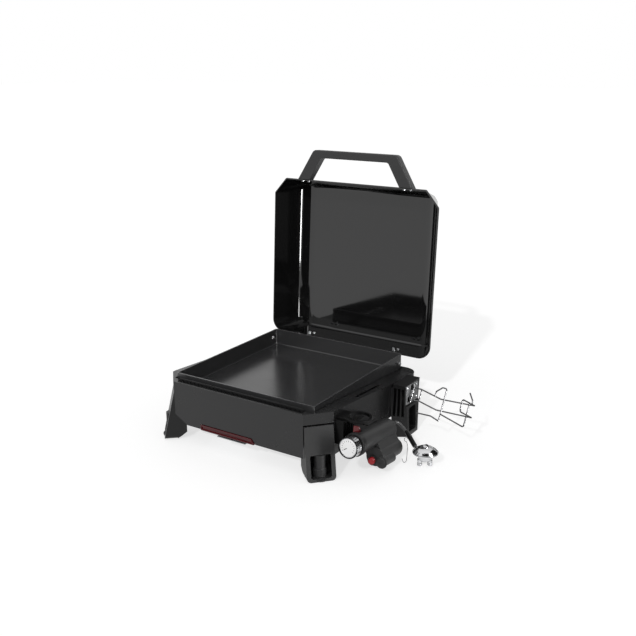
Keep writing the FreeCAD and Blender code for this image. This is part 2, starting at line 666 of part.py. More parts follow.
def igniter_electrode():
    clip = box(-30.0, -18.0, -98.0, -80.0, 81.2, 82.4)
    rod_part = rod(3.5, (-24.0, -89.0, 82.4), (-24.0, -89.0, 108.0))
    tip = rod(1.1, (-24.0, -89.0, 108.0), (-24.0, -89.0, 116.0))
    bent = rod(1.1, (-24.0, -88.5, 115.0), (-24.0, -100.0, 115.0))
    return join([clip, rod_part, tip, bent])


def ignition_lead():
    lead = rod(1.6, (-20.4, -90.0, 90.0), (297.0, -90.0, 90.0))
    return lead.cut(in_unit(rod(BARREL_R, (0, 0, 30.0), (0, 0, 222.0))))


def unit_form(upper, lower, front, rear):
    # The two barrels and the web between them, in the unit's own frame.
    trim = BARREL_R - upper
    top = rod(upper, (0, 0, front), (0, 0, rear))
    low = rod(lower, (LOWER_X, LOWER_Y, 88.0 + trim), (LOWER_X, LOWER_Y, rear))
    top = top.makeFillet(5.0, [e for e in top.Edges if e.BoundBox.ZMin > rear - 0.1])
    low = low.makeFillet(5.0, [e for e in low.Edges if e.BoundBox.ZMin > rear - 0.1])
    web = prism([(-22.0 + trim, 10.0), (24.0 - trim, 4.0), (46.0 - trim, 36.0), (3.0 + trim, 52.0)],
                "xy", 92.0 + trim, rear - 6.0)
    return join([top, low, web])


def control_housing():
    outer = unit_form(BARREL_R, LOWER_R, 32.0, UNIT_REAR)
    boss_a = rod(12.8, (19.0, 53.0, 84.0), (19.0, 53.0, 120.0))
    boss_b = rod(13.5, (44.0, 52.0, 86.0), (44.0, 52.0, 140.0))
    outer = outer.fuse([boss_a, boss_b]).removeSplitter()
    inner = unit_form(BARREL_R - 2.5, LOWER_R - 2.5, 34.5, UNIT_REAR - 6.0)
    shell = outer.cut(inner)
    shell = shell.cut(rod(5.06, (0, 0, 20.0), (0, 0, 40.0)))
    shell = shell.cut(rod(9.9, (19.0, 53.0, 70.0), (19.0, 53.0, 112.0)))
    shell = shell.cut(box(-17.0, 1.0, -30.0, -20.0, 36.0, 57.0))
    shell = shell.cut(rod(6.0, (-2.0, -6.0, UNIT_REAR - 12.0), (-2.0, -6.0, UNIT_REAR + 5.0)))
    return in_unit(shell)


def knob_bezel():
    ring = rod(30.0, (0, 0, 18.0), (0, 0, 32.0))
    edge = [e for e in ring.Edges if e.BoundBox.ZMax < 18.1]
    ring = ring.makeChamfer(2.4, [edge[0]])
    ring = ring.cut(rod(24.0, (0, 0, 17.0), (0, 0, 24.0)))
    return in_unit(ring.cut(rod(5.06, (0, 0, 17.0), (0, 0, 33.0))))


def knob_profile(points):
    wire = Part.makePolygon([vec(r, 0, z) for r, z in points + points[:1]])
    return Part.Face(wire).revolve(vec(0, 0, 0), vec(0, 0, 1), 360)


def control_knob():
    front = [(5.06, -4.0), (22.6, -4.0), (22.6, -9.0), (25.6, -11.0), (27.0, -9.6)]
    grooves = [(27.0, -6.0), (26.2, -5.4), (27.0, -4.8), (27.0, -1.0), (26.2, -0.4), (27.0, 0.2),
               (27.0, 4.0), (26.2, 4.6), (27.0, 5.2)]
    rear = [(27.0, 10.0), (24.5, 13.0), (22.5, 13.0), (22.5, 2.0), (9.0, 2.0), (9.0, 13.0), (5.06, 13.0)]
    return in_unit(knob_profile(front + grooves + rear))


def knob_cap():
    points = [(0.0, -11.4), (14.0, -10.9), (22.4, -9.4), (22.4, -4.0), (0.0, -4.0)]
    cap = knob_profile(points)
    cap = cap.cut(box(-1.3, 1.3, -20.5, -8.0, -13.0, -10.0))
    return in_unit(cap)


def knob_stem():
    stem = rod(5.0, (0, 0, -3.9), (0, 0, 62.0))
    collar = rod(9.0, (0, 0, 44.0), (0, 0, 50.0))
    return in_unit(join([stem, collar]))


def igniter_button():
    button = rod(9.6, (19.0, 53.0, 77.0), (19.0, 53.0, 103.0))
    edge = [e for e in button.Edges if e.BoundBox.ZMax < 77.1]
    return in_unit(button.makeFillet(2.2, [edge[0]]))


def battery_cap():
    cap = rod(12.0, (44.0, 52.0, 80.0), (44.0, 52.0, 86.0))
    edge = [e for e in cap.Edges if e.BoundBox.ZMax < 80.1]
    cap = cap.makeChamfer(1.4, [edge[0]])
    return in_unit(cap.cut(box(34.0, 54.0, 51.0, 53.0, 79.0, 81.6)))


def lock_tab():
    side_view = [(-24.0, 37.0), (-41.0, 38.5), (-41.0, 43.0), (-31.0, 50.0), (-24.0, 50.0)]
    thumb = prism(side_view, "yz", -14.8, -1.2)
    top = [e for e in thumb.Edges if e.BoundBox.YMax < -40.9 and e.BoundBox.XLength > 5]
    return in_unit(thumb.makeFillet(1.2, top))


def control_bracket():
    arm = box(255.0, 312.0, -152.0, -62.0, 66.0, 104.0)
    arm = arm.cut(body_block(0.0, 0.0, 50.0))
    arm = arm.cut(in_unit(unit_form(BARREL_R, LOWER_R, 20.0, 240.0)))
    arm = arm.cut(box(300.0, 320.0, -160.0, -50.0, 50.0, 110.0))
    arm = arm.cut(rod(8.5, (250.0, -110.0, 96.0), (310.0, -110.0, 96.0)))
    arm = arm.cut(rod(2.0, (250.0, -90.0, 90.0), (310.0, -90.0, 90.0)))
    solids = sorted(arm.Solids, key=lambda s: -s.Volume)
    return solids[0]


def ring_bracket():
    ring = rod(34.5, (309.0, -173.0, 148.0), (309.0, -173.0, 155.0))
    edges = [e for e in ring.Edges if e.BoundBox.ZLength < 0.01]
    ring = ring.makeChamfer(1.8, edges)
    block = box(255.0, 284.0, -206.0, -154.0, 84.0, 148.0)
    brow = [(255.0, 147.0), (255.0, 155.0), (284.0, 155.0), (300.0, 147.0)]
    block = block.fuse(prism(brow, "xz", -200.0, -158.0))
    for y in (-200.0, -190.0, -180.0, -170.0):
        block = block.cut(box(276.0, 290.0, y, y + 6.0, 80.0, 141.0))
    holder = ring.fuse(block).cut(rod(27.5, (309.0, -173.0, 130.0), (309.0, -173.0, 160.0)))
    holder = holder.cut(body_block(0.0, 0.0, 50.0))
    holder = holder.cut(in_unit(rod(31.0, (0, 0, 15.0), (0, 0, 34.0))))
    holder = holder.cut(in_unit(rod(27.4, (0, 0, 30.0), (0, 0, 222.0))))
    solids = sorted(holder.Solids, key=lambda s: -s.Volume)
    return solids[0].removeSplitter()


def rack_axis_rod(radius, low, high):
    return rod(radius, on_rack(1.5, low), on_rack(1.5, high))


def rack_plate():
    sight = rounded_wire([vec(310.2, 78.0, 96.0), vec(310.2, 149.0, 94.0), vec(310.2, 147.5, 146.0),
                          vec(310.2, 77.0, 149.0)], [4.0] * 4)
    plate = Part.Face(sight).extrude(vec(2.0, 0, 0))
    for s in (0.0, 35.5):
        x, y, z = on_rack(0.0, s)
        plate = plate.cut(box(305.0, 320.0, y - 8.0, y + 6.0, z - 8.0, z + 8.0))
    for low in (10.0, 20.0):
        x, y, z = on_rack(1.5, low + 3.0)
        lug = rack_axis_rod(4.4, low, low + 6.0).fuse(rod(2.9, (311.0, y, z), (x, y, z)))
        plate = plate.fuse(lug)
    plate = plate.cut(rack_axis_rod(WIRE_R + 0.09, -20.0, 60.0))
    for y, z in ((140.0, 138.0), (140.0, 102.0), (84.0, 142.0)):
        plate = plate.cut(rod(2.2, (305.0, y, z), (320.0, y, z)))
    return plate.removeSplitter()


def rack_screws():
    screws = []
    for y, z in ((140.0, 138.0), (140.0, 102.0), (84.0, 142.0)):
        head = rod(4.2, (312.2, y, z), (314.4, y, z))
        edge = [e for e in head.Edges if e.BoundBox.XMin > 314.3]
        screws.append(join([head.makeChamfer(1.0, [edge[0]]), rod(2.2, (310.2, y, z), (312.4, y, z))]))
    return Part.makeCompound(screws)


def wire(points, bend):
    return tube([on_rack(*p) for p in points], bend, WIRE_R)


def rack_frame():
    # One bar bent out along the upper rail, round the end hoop and back along the lower rail.
    upper = [(1.5, 0), (25.0, 1.5), (86.0, 16.0), (182.0, 13.5)]
    hoop = [(182.0, 18.7, 99.0), (182.0, 50.0, 96.0)]
    lower = [(182.0, 46.0), (80.0, 47.0), (26.0, 34.0), (1.5, 35.5)]
    rails = wire(upper + hoop + lower, [0, 12.0, 12.0, 5.0, 9.0, 9.0, 5.0, 12.0, 12.0, 0])
    parts = [rails, rack_axis_rod(WIRE_R + 0.02, -7.0, 43.0)]
    parts.append(wire([(26.0, 1.9), (26.0, 33.9)], 5.0))
    parts.append(wire([(160.0, -17.0), (172.0, 1.0), (175.0, 13.4)], 5.0))
    return weld(parts)


def rack_loops():
    w = 2.0 * WIRE_R + 0.12
    hook = [(68.5, 13.0, w), (68.9, -1.0, w), (84.0, -15.0, w), (96.6, -14.0, w), (96.6, 75.0, w)]
    bow = [(26.0, 31.0, w), (25.0, 62.0, w), (53.0, 78.0, w), (84.0, 70.0, w), (96.6, 57.0, w)]
    parts = [wire(hook, [0, 5.0, 4.0, 4.0, 0]), wire(bow, [0, 14.0, 20.0, 16.0, 0])]
    parts.append(wire([(31.5, 67.0, w), (71.0, 66.5, w), (96.6, 75.0, w)], 20.0))
    parts.append(wire([(96.6, 56.0, w), (167.5, 75.5, w), (167.5, 12.0, w)], 4.0))
    return weld(parts)


HOSE_ROUTE = [(316.0, 0.1, 75.6), (316.2, 9.0, 74.4), (323.0, 17.5, 69.5), (338.0, 16.0, 58.5),
              (354.0, 9.0, 49.0), (372.0, -3.0, 38.5), (388.0, -14.5, 30.0), (402.9, -25.5, 26.6)]
REG = (432.0, -46.0)


def gas_hose():
    radii = route_radii(HOSE_ROUTE)
    hose = tube(HOSE_ROUTE, radii, HOSE_R)
    path = rounded_wire([vec(*p) for p in HOSE_ROUTE], radii, closed=False)
    print("hose radii", [round(r, 1) for r in radii[1:-1]], "length", round(path.Length, 1),
          "volume ratio", round(hose.Volume / (math.pi * HOSE_R ** 2 * path.Length), 4))
    return hose


def hose_ferrule():
    ferrule = rod(6.0, (-2.0, -6.0, UNIT_REAR - 6.0), (-2.0, -6.0, 232.4))
    collar = rod(7.6, (-2.0, -6.0, UNIT_REAR), (-2.0, -6.0, UNIT_REAR + 9.0))
    part = in_unit(join([ferrule, collar]))
    start = vec(*HOSE_ROUTE[0])
    ahead = (vec(*HOSE_ROUTE[1]) - start).normalize()
    return part.cut(Part.makeCylinder(12.0, 12.0, start, ahead))


def hose_end():
    tip = vec(*HOSE_ROUTE[-1])
    ahead = (tip - vec(*HOSE_ROUTE[-2])).normalize()
    sleeve = Part.makeCylinder(5.6, 9.0, tip, ahead)
    nut = hexagon(7.0, 6.0)
    nut.Placement = FreeCAD.Placement(tip + ahead * 8.0, FreeCAD.Rotation(vec(0, 0, 1), ahead))
    tail = Part.makeCylinder(4.5, 12.0, tip + ahead * 8.0, ahead)
    part = join([sleeve, nut, tail])
    return part.cut(rod(18.0, (REG[0], REG[1], 0.0), (REG[0], REG[1], 60.0)))


def turned(points):
    wire_shape = Part.makePolygon([vec(REG[0] + r, REG[1], z) for r, z in points + points[:1]])
    return Part.Face(wire_shape).revolve(vec(REG[0], REG[1], 0), vec(0, 0, 1), 360)


def regulator_body():
    return turned([(0, 18.0), (15.0, 18.0), (18.0, 21.0), (18.0, 33.0), (31.0, 36.0), (33.0, 37.0),
                   (33.0, 40.0), (0, 40.0)])


def regulator_dome():
    return turned([(0, 40.0), (31.5, 40.0), (31.5, 41.5), (28.0, 45.5), (22.0, 49.5), (14.0, 52.6),
                   (9.0, 53.6), (8.0, 54.0), (8.0, 57.0), (6.5, 58.5), (0, 58.5)])


def regulator_ports():
    parts = []
    for dx, dy, low in ((-13.0, -4.0, 0.0), (11.0, 5.0, 3.0)):
        x = REG[0] + dx
        y = REG[1] + dy
        port = [rod(6.6, (x, y, 12.0), (x, y, 18.0)), rod(5.4, (x, y, low), (x, y, 13.0))]
        for z in (low + 1.5, low + 5.5):
            port.append(rod(6.2, (x, y, z), (x, y, z + 2.0)))
        parts.append(join(port))
    return Part.makeCompound(parts)


def match_holder():
    loop = Part.makeTorus(6.4, 0.8, vec(0, 0, 0), vec(0, 0, 1))
    place = vec(362.6, 3.4, 43.9)
    ahead = (vec(*HOSE_ROUTE[5]) - vec(*HOSE_ROUTE[4])).normalize()
    loop.Placement = FreeCAD.Placement(place, FreeCAD.Rotation(vec(0, 0, 1), ahead))
    low = place + vec(0, 0, -1).cross(ahead).cross(ahead) * 6.4
    if low.z > place.z:
        low = place - (low - place)
    stem = tube([(low.x, low.y, low.z), (384.5, -49.0, 5.0), (391.0, -62.0, 1.2), (384.0, -66.0, 1.2)],
                [0, 8.0, 2.5, 0], 0.8)
    return loop.fuse(stem)


def build():
    leg = at_corner(front_leg())
    wheel = at_corner(levelling_wheel())
    pad = at_corner(levelling_pad())
    behind = rear_leg(150.0).cut(box(300.0, 310.3, 82.0, 122.0, 98.0, 146.0))
    return {
        "body_shell": body_shell(),
        "heat_shield": heat_shield(),
        "vent_comb": vent_comb(),
        "support_front": support_bar(-185.0),
        "support_rear": support_bar(190.0),
        "cooktop": cooktop(),
        "cooktop_studs": cooktop_studs(),
        "drain_chute": drain_chute(),
        "grease_tray": grease_tray(),
        "tray_handle": tray_handle(),
        "tray_runners": tray_runners(),
        "front_leg_right": leg,
        "front_leg_left": mirrored(leg),
        "levelling_wheel_right": wheel,
        "levelling_wheel_left": mirrored(wheel),
        "levelling_pad_right": pad,
        "levelling_pad_left": mirrored(pad),
        "rear_leg_right": behind,
        "rear_leg_left": mirrored(rear_leg(128.0)),
        "rear_pad_right": rear_pad(),
        "rear_pad_left": mirrored(rear_pad()),
        "lid_shell": opened(lid_shell()),
        "lid_handle": opened(lid_handle()),
        "handle_screws": opened(handle_screws()),
        "hinge_leaf_left": opened(hinge_leaf(-1)),
        "hinge_leaf_right": opened(hinge_leaf(1)),
        "hinge_bolts": opened(hinge_bolts()),
        "hinge_bracket_left": hinge_bracket(-1),
        "hinge_bracket_right": hinge_bracket(1),
        "hinge_pin_left": hinge_pin(-1),
        "hinge_pin_right": hinge_pin(1),
        "burner": burner(),
        "burner_brackets": burner_brackets(),
        "gas_outlet": gas_outlet(),
        "igniter_electrode": igniter_electrode(),
        "ignition_lead": ignition_lead(),
        "control_housing": control_housing(),
        "control_bracket": control_bracket(),
        "knob_bezel": knob_bezel(),
        "control_knob": control_knob(),
        "knob_cap": knob_cap(),
        "knob_stem": knob_stem(),
        "igniter_button": igniter_button(),
        "battery_cap": battery_cap(),
        "lock_tab": lock_tab(),
        "ring_bracket": ring_bracket(),
        "rack_plate": rack_plate(),
        "rack_screws": rack_screws(),
        "rack_frame": rack_frame(),
        "rack_loops": rack_loops(),
        "gas_hose": gas_hose(),
        "hose_ferrule": hose_ferrule(),
        "hose_end": hose_end(),
        "regulator_body": regulator_body(),
        "regulator_dome": regulator_dome(),
        "regulator_ports": regulator_ports(),
        "match_holder": match_holder(),
    }


def main():
    os.makedirs(OUT, exist_ok=True)
    whole = FreeCAD.BoundBox()
    cords = ("gas_hose", "hose_ferrule", "hose_end", "regulator_body", "regulator_dome",
             "regulator_ports", "match_holder")
    for name, shape in build().items():
        placed = shape.copy()
        placed.translate(vec(-ORIGIN_X, -ORIGIN_Y))
        placed.exportStep(OUT + "/" + name + ".step")
        if name not in cords:
            whole.add(placed.BoundBox)
        if not shape.isValid():
            print("not valid:", name)
        if len(shape.Solids) != 1:
            print(name, "solids", len(shape.Solids))
    print("box", whole)


main()
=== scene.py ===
# %% [markdown]
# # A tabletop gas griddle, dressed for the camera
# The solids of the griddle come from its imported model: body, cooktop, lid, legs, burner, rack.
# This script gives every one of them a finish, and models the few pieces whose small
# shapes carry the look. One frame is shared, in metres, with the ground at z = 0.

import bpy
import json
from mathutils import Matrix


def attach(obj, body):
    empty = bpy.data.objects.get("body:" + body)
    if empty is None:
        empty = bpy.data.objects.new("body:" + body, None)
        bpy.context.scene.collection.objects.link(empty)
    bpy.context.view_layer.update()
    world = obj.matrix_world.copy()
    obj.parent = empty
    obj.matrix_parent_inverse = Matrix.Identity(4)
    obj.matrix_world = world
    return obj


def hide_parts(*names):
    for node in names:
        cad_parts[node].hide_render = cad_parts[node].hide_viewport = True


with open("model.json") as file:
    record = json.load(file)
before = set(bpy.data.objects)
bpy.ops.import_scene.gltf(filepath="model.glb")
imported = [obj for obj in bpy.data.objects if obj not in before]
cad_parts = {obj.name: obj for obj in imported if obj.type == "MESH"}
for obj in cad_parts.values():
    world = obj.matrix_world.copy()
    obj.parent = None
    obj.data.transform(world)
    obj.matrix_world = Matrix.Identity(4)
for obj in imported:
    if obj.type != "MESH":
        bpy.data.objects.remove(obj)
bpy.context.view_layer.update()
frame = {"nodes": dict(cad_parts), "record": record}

import bmesh
import bpy
import json
import math
from mathutils import Matrix, Vector

RIGHT = Vector((1.0, 0.0, 0.0))
UP = Vector((0.0, 0.0, 1.0))
collection = bpy.context.scene.collection
for picked in list(bpy.context.selected_objects):
    picked.select_set(False)

# %% [markdown]
# The camera comes first, because everything else is judged through it. It stands to the right
# of the front, a little above the open lid's top. A lens of 48 mm on a 36 mm sensor was found
# by fitting the straight edges of the cooktop. A longer lens further away would flatten the
# wedge that the open lid and the cooktop make.

# %% Camera
CAMERA_AT = (1.1664, -1.9078, 0.9898)
CAMERA_SWING = math.radians(32.6)
CAMERA_DIP = math.radians(16.9)
LENS_MM = 47.94
SENSOR_MM = 36.0
camera_data = bpy.data.cameras.new("camera")
camera_data.lens = LENS_MM
camera_data.sensor_width = SENSOR_MM
camera = bpy.data.objects.new("camera", camera_data)
camera.location = CAMERA_AT
camera.rotation_euler = (math.pi / 2 - CAMERA_DIP, 0.0, CAMERA_SWING)
collection.objects.link(camera)
bpy.context.scene.camera = camera
bpy.context.scene.view_settings.view_transform = "Standard"
print("camera", camera.location[:])

# %% [markdown]
# The gas hose is a short length of thick rubber. It leaves the ferrule at the back of the
# control unit, bends down and runs to the regulator. Its sleeve and the match holder's wire are
# tubes along a line too, so one function makes all three. A swept mesh would need every ring
# placed, but a NURBS curve of order 3 keeps one smooth line through few points, and its bevel
# is the tube. The order and the end points are set after the points are there, or they would
# not hold. The bevel is one metre and each point's radius the tube's own: Blender adds the
# radius to a curve's box, so a radius of one would make that box metres wide.

# %% Gas hose
HOSE_WIDE = 0.0084
HOSE_ROUTE = [
    (0.2250, -0.0649, 0.0756), (0.2252, -0.0560, 0.0744), (0.2320, -0.0475, 0.0695),
    (0.2470, -0.0490, 0.0585), (0.2630, -0.0560, 0.0490), (0.2810, -0.0680, 0.0385),
    (0.2970, -0.0795, 0.0300), (0.3119, -0.0905, 0.0266),
]


def tube(name, route, radii, along, around):
    # Along is the steps in each span of the line, around those in its round section.
    curve = bpy.data.curves.new(name, "CURVE")
    curve.dimensions = "3D"
    line = curve.splines.new("NURBS")
    line.points.add(len(route) - 1)
    for point, place, radius in zip(line.points, route, radii):
        point.co = (*place, 1.0)
        point.radius = radius
    line.order_u = 3
    line.use_endpoint_u = True
    line.resolution_u = along
    curve.bevel_depth = 1.0
    curve.bevel_resolution = around
    curve.use_fill_caps = True
    made = bpy.data.objects.new(name, curve)
    collection.objects.link(made)
    return made


hose = tube("hose", HOSE_ROUTE, [HOSE_WIDE / 2] * len(HOSE_ROUTE), along=12, around=8)
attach(hose, "base")
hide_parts("gas_hose")
print("hose points", len(HOSE_ROUTE))

# %% [markdown]
# Near the regulator the hose wears a thicker black sleeve that keeps it from kinking. It has
# to follow the hose exactly, so its line is read from the hose's own spline: a copy of the
# curve without a bevel turns into a run of vertices, and a part of that run carries a new
# tube. The tube narrows towards the free side, as a moulded sleeve does.

# %% Hose sleeve
SLEEVE_FROM, SLEEVE_TO = 0.50, 0.93
SLEEVE_EVERY = 4
SLEEVE_WIDE = 0.0128
SLEEVE_NOSE, SLEEVE_SWELL = 0.74, 0.09
bare_hose = bpy.data.objects.new("bare_hose", hose.data.copy())
bare_hose.data.bevel_depth = 0.0
collection.objects.link(bare_hose)
sampled = bpy.data.meshes.new_from_object(bare_hose)
hose_run = [vertex.co.copy() for vertex in sampled.vertices]
bpy.data.objects.remove(bare_hose)
bpy.data.meshes.remove(sampled)
first = int(len(hose_run) * SLEEVE_FROM)
last = int(len(hose_run) * SLEEVE_TO)
sleeve_run = hose_run[first:last:SLEEVE_EVERY]
sleeve_radii = [SLEEVE_WIDE / 2 * min(1.0, SLEEVE_NOSE + SLEEVE_SWELL * number)
                for number in range(len(sleeve_run))]
sleeve_tube = tube("sleeve_tube", sleeve_run, sleeve_radii, along=12, around=8)
sleeve = bpy.data.objects.new("hose_sleeve", bpy.data.meshes.new_from_object(sleeve_tube))
collection.objects.link(sleeve)
bpy.data.objects.remove(sleeve_tube)
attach(sleeve, "base")
print("sleeve points", len(sleeve_run), "faces", len(sleeve.data.polygons))

# %% [markdown]
# The small turned and moulded pieces are all worked in the same way: a round blank is added,
# its top face is picked by where it lies, and a chain of insets steps it in and out. That is
# how such a shape grows when it is modelled by hand. The helpers below hold those moves. Each
# piece is worked about the origin and its mesh is then put in its place, so that its object
# stays at the origin.

# %% Tools for small pieces
UNIT_AT = Vector((0.227, -0.296, 0.098))
TILT = math.radians(7.0)
UNIT_DOWN = Vector((0.0, -math.sin(TILT), -math.cos(TILT)))
UNIT_REAR = Vector((0.0, math.cos(TILT), -math.sin(TILT)))
DOUBLES_WITHIN = 0.000001
RIB_BORDER = 0.00012


def facing(origin, outward, up):
    # A place whose own z runs along outward and whose own y is nearest to up.
    z = Vector(outward).normalized()
    x = Vector(up).cross(z).normalized()
    y = z.cross(x)
    turn = Matrix((x, y, z)).transposed().to_4x4()
    return Matrix.Translation(origin) @ turn


def on_unit(x, y, z):
    # A point given in millimetres in the control unit's own frame, its z along the barrels.
    return UNIT_AT + (RIGHT * x + UNIT_DOWN * y + UNIT_REAR * z) / 1000


def edit(piece):
    for other in list(bpy.context.selected_objects):
        other.select_set(False)
    bpy.context.view_layer.objects.active = piece
    piece.select_set(True)
    bpy.ops.object.mode_set(mode="EDIT")
    bpy.ops.mesh.select_mode(type="FACE")
    bpy.ops.mesh.select_all(action="SELECT")


def pick(piece, test):
    mesh = bmesh.from_edit_mesh(piece.data)
    for face in mesh.faces:
        face.select_set(bool(test(face)))
    bmesh.update_edit_mesh(piece.data)


def pick_edges(piece, test):
    bpy.ops.mesh.select_mode(type="EDGE")
    mesh = bmesh.from_edit_mesh(piece.data)
    for edge in mesh.edges:
        edge.select_set(bool(test(*(corner.co for corner in edge.verts))))
    bmesh.update_edit_mesh(piece.data)


def on_top(face):
    return face.normal.z > 0.9


def underneath(face):
    return face.normal.z < -0.9 and face.calc_center_median().z < 0.00001


def stepped(steps):
    # Each step goes inwards across the picked face and then out of it, in millimetres.
    for inward, rise in steps:
        bpy.ops.mesh.inset(thickness=inward / 1000, depth=rise / 1000)


def leave(piece, place, smooth=35.0):
    bpy.ops.mesh.select_all(action="SELECT")
    bpy.ops.mesh.remove_doubles(threshold=DOUBLES_WITHIN)
    bpy.ops.mesh.normals_make_consistent(inside=False)
    bpy.ops.object.mode_set(mode="OBJECT")
    bpy.ops.object.shade_smooth_by_angle(angle=math.radians(smooth))
    piece.data.transform(place)
    piece.select_set(False)


def turned_piece(name, radius, height, steps, sides, place, ribs=0.0):
    # A round blank, millimetres throughout, whose top is stepped in and up by each step.
    bpy.ops.mesh.primitive_circle_add(vertices=sides, radius=radius / 1000, fill_type="NGON")
    piece = bpy.context.active_object
    piece.name = name
    edit(piece)
    lift = {"value": (0.0, 0.0, height / 1000)}
    bpy.ops.mesh.extrude_region_move(TRANSFORM_OT_translate=lift)
    bpy.ops.mesh.select_all(action="SELECT")
    bpy.ops.mesh.normals_make_consistent(inside=False)
    if ribs:
        step = 2 * math.pi / sides

        def every_other_side(face):
            around = math.atan2(face.normal.y, face.normal.x) / step - 0.5
            return abs(face.normal.z) < 0.1 and int(round(around)) % 2 == 0

        pick(piece, every_other_side)
        bpy.ops.mesh.inset(thickness=RIB_BORDER, depth=-ribs / 1000, use_individual=True)
    pick(piece, on_top)
    stepped(steps)
    leave(piece, place)
    return piece


def copied(piece, name, place_from, place_to):
    twin = piece.copy()
    twin.data = piece.data.copy()
    twin.name = name
    twin.data.transform(place_to @ place_from.inverted())
    collection.objects.link(twin)
    return twin


def run_of_copies(piece, name, places):
    # The piece stands at the first place, and each further place gets a copy of it.
    return [piece] + [copied(piece, f"{name}_{number}", places[0], place)
                      for number, place in enumerate(places[1:], 2)]


print("unit axis", UNIT_REAR[:])

# %% [markdown]
# The dial is a white moulded cap let into the chrome ring of the knob. Its face has a thin
# raised lip, ticks round the lip for the flame's setting and one longer mark that points to
# the setting. The marks stand a quarter of a millimetre proud. They could be painted in the
# material, but real ones catch the light at their edges.

# %% Dial
DIAL_AT = (0.0, 0.0, -4.0)
DIAL_RADIUS, DIAL_HEIGHT = 22.4, 4.6
DIAL_STEPS = [(0.5, 0.7), (1.0, 0.5), (0.5, -0.7), (7.0, 0.6), (7.0, 0.3)]
MARK_SUNK, MARK_TALL = 0.65, 1.6
MARK_BORDER, MARK_CROWN = 0.2, 0.12
DIAL_START = -120
TICKS, TICK_STEP = 13, 20
TICK_RADIUS, TICK_WIDE, TICK_LONG, THIRD_TICK_LONG = 16.6, 0.7, 2.6, 4.2
POINTER_RADIUS, POINTER_WIDE, POINTER_LONG = 7.5, 1.7, 9.0
dial_place = facing(on_unit(*DIAL_AT), -UNIT_REAR, -UNIT_DOWN)
dial = turned_piece("dial", DIAL_RADIUS, DIAL_HEIGHT, DIAL_STEPS, sides=64, place=dial_place)
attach(dial, "knob")
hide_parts("knob_cap")


def dial_level(radius):
    # The height of the dial's face at a radius, both in millimetres, read from its steps.
    edge, level = DIAL_RADIUS, DIAL_HEIGHT
    for inward, rise in DIAL_STEPS:
        if edge - inward < radius:
            return level + rise * (edge - radius) / inward
        edge -= inward
        level += rise
    return level


def dial_mark(name, long, wide, radius, degrees):
    # One raised bar, its length along the radius, on the face of the dial. Its place is
    # given in degrees, clockwise from the top as the cook sees it.
    angle = math.radians(degrees)
    level = dial_level(radius) - MARK_SUNK
    middle = Vector((math.sin(angle) * radius, math.cos(angle) * radius, level)) / 1000
    bpy.ops.mesh.primitive_cube_add(size=0.001, location=(0.0, 0.0, 0.0))
    bar = bpy.context.active_object
    bar.name = name
    edit(bar)
    bpy.ops.transform.resize(value=(wide, long, MARK_TALL))
    pick(bar, on_top)
    stepped([(min(long, wide) * MARK_BORDER, MARK_CROWN)])
    leave(bar, dial_place @ Matrix.Translation(middle) @ Matrix.Rotation(-angle, 4, "Z"))
    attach(bar, "knob")
    return bar


dial_marks = []
for number in range(TICKS):
    tick_long = TICK_LONG if number % 3 else THIRD_TICK_LONG
    dial_marks.append(dial_mark(f"dial_tick_{number}", tick_long, TICK_WIDE, TICK_RADIUS,
                                DIAL_START + TICK_STEP * number))
dial_marks.append(dial_mark("dial_pointer", POINTER_LONG, POINTER_WIDE, POINTER_RADIUS,
                            DIAL_START))
print("dial marks", len(dial_marks))

# %% [markdown]
# Beside the lower barrel sit the red igniter button and the screw cap of the battery. The
# button is crowned so that a thumb finds it. The cap has a ribbed edge and a sunk face. Both
# replace plain turned solids of the same size.

# %% Igniter button and battery cap
BUTTON_AT, CAP_AT = (19.0, 53.0, 103.0), (44.0, 52.0, 86.0)
BUTTON_RADIUS, BUTTON_LONG = 9.6, 23.6
BUTTON_STEPS = [(0.5, 0.9), (1.2, 0.8), (2.4, 0.5), (2.6, 0.2)]
CAP_RADIUS, CAP_LONG, CAP_RIBS = 12.0, 4.4, 0.45
CAP_STEPS = [(0.6, 0.5), (1.4, 0.5), (5.2, 0.0), (0.2, -1.0)]
button_place = facing(on_unit(*BUTTON_AT), -UNIT_REAR, -UNIT_DOWN)
button = turned_piece("igniter_push", BUTTON_RADIUS, BUTTON_LONG, BUTTON_STEPS, sides=48,
                      place=button_place)
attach(button, "button")
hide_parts("igniter_button")

cap_place = facing(on_unit(*CAP_AT), -UNIT_REAR, -UNIT_DOWN)
cell_cap = turned_piece("battery_screw_cap", CAP_RADIUS, CAP_LONG, CAP_STEPS, sides=48,
                        place=cap_place, ribs=CAP_RIBS)
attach(cell_cap, "base")
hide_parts("battery_cap")
print("button and cap faces", len(button.data.polygons), len(cell_cap.data.polygons))

# %% [markdown]
# The grease tray is pulled by a red moulded grip. A block gets its long upper corner cut off,
# its front edges rounded, and a shallow finger channel pressed into the front. The border that
# is left round the channel is what catches the light.

# %% Tray pull
PULL_AT = (-0.12125, -0.3325, 0.0592)
PULL_LONG, PULL_DEEP, PULL_TALL = 0.1745, 0.0090, 0.0154
PULL_CORNER = 0.0096
PULL_ROUND = 0.0018
CHANNEL_STEPS = [(1.6, 0.0), (1.4, -3.4)]
NEARLY_HALF, NEARLY_ONE = 0.45, 0.99
LARGE_SHARE = 0.3


def upper_corner(a, b):
    return min(a.x, b.x) > PULL_LONG * NEARLY_HALF and min(a.z, b.z) > PULL_TALL * NEARLY_HALF


def front_edge(a, b):
    return max(a.y, b.y) < -PULL_DEEP * NEARLY_HALF


def large_front(face):
    large = face.calc_area() > PULL_LONG * PULL_TALL * LARGE_SHARE
    return large and face.normal.y < -NEARLY_ONE


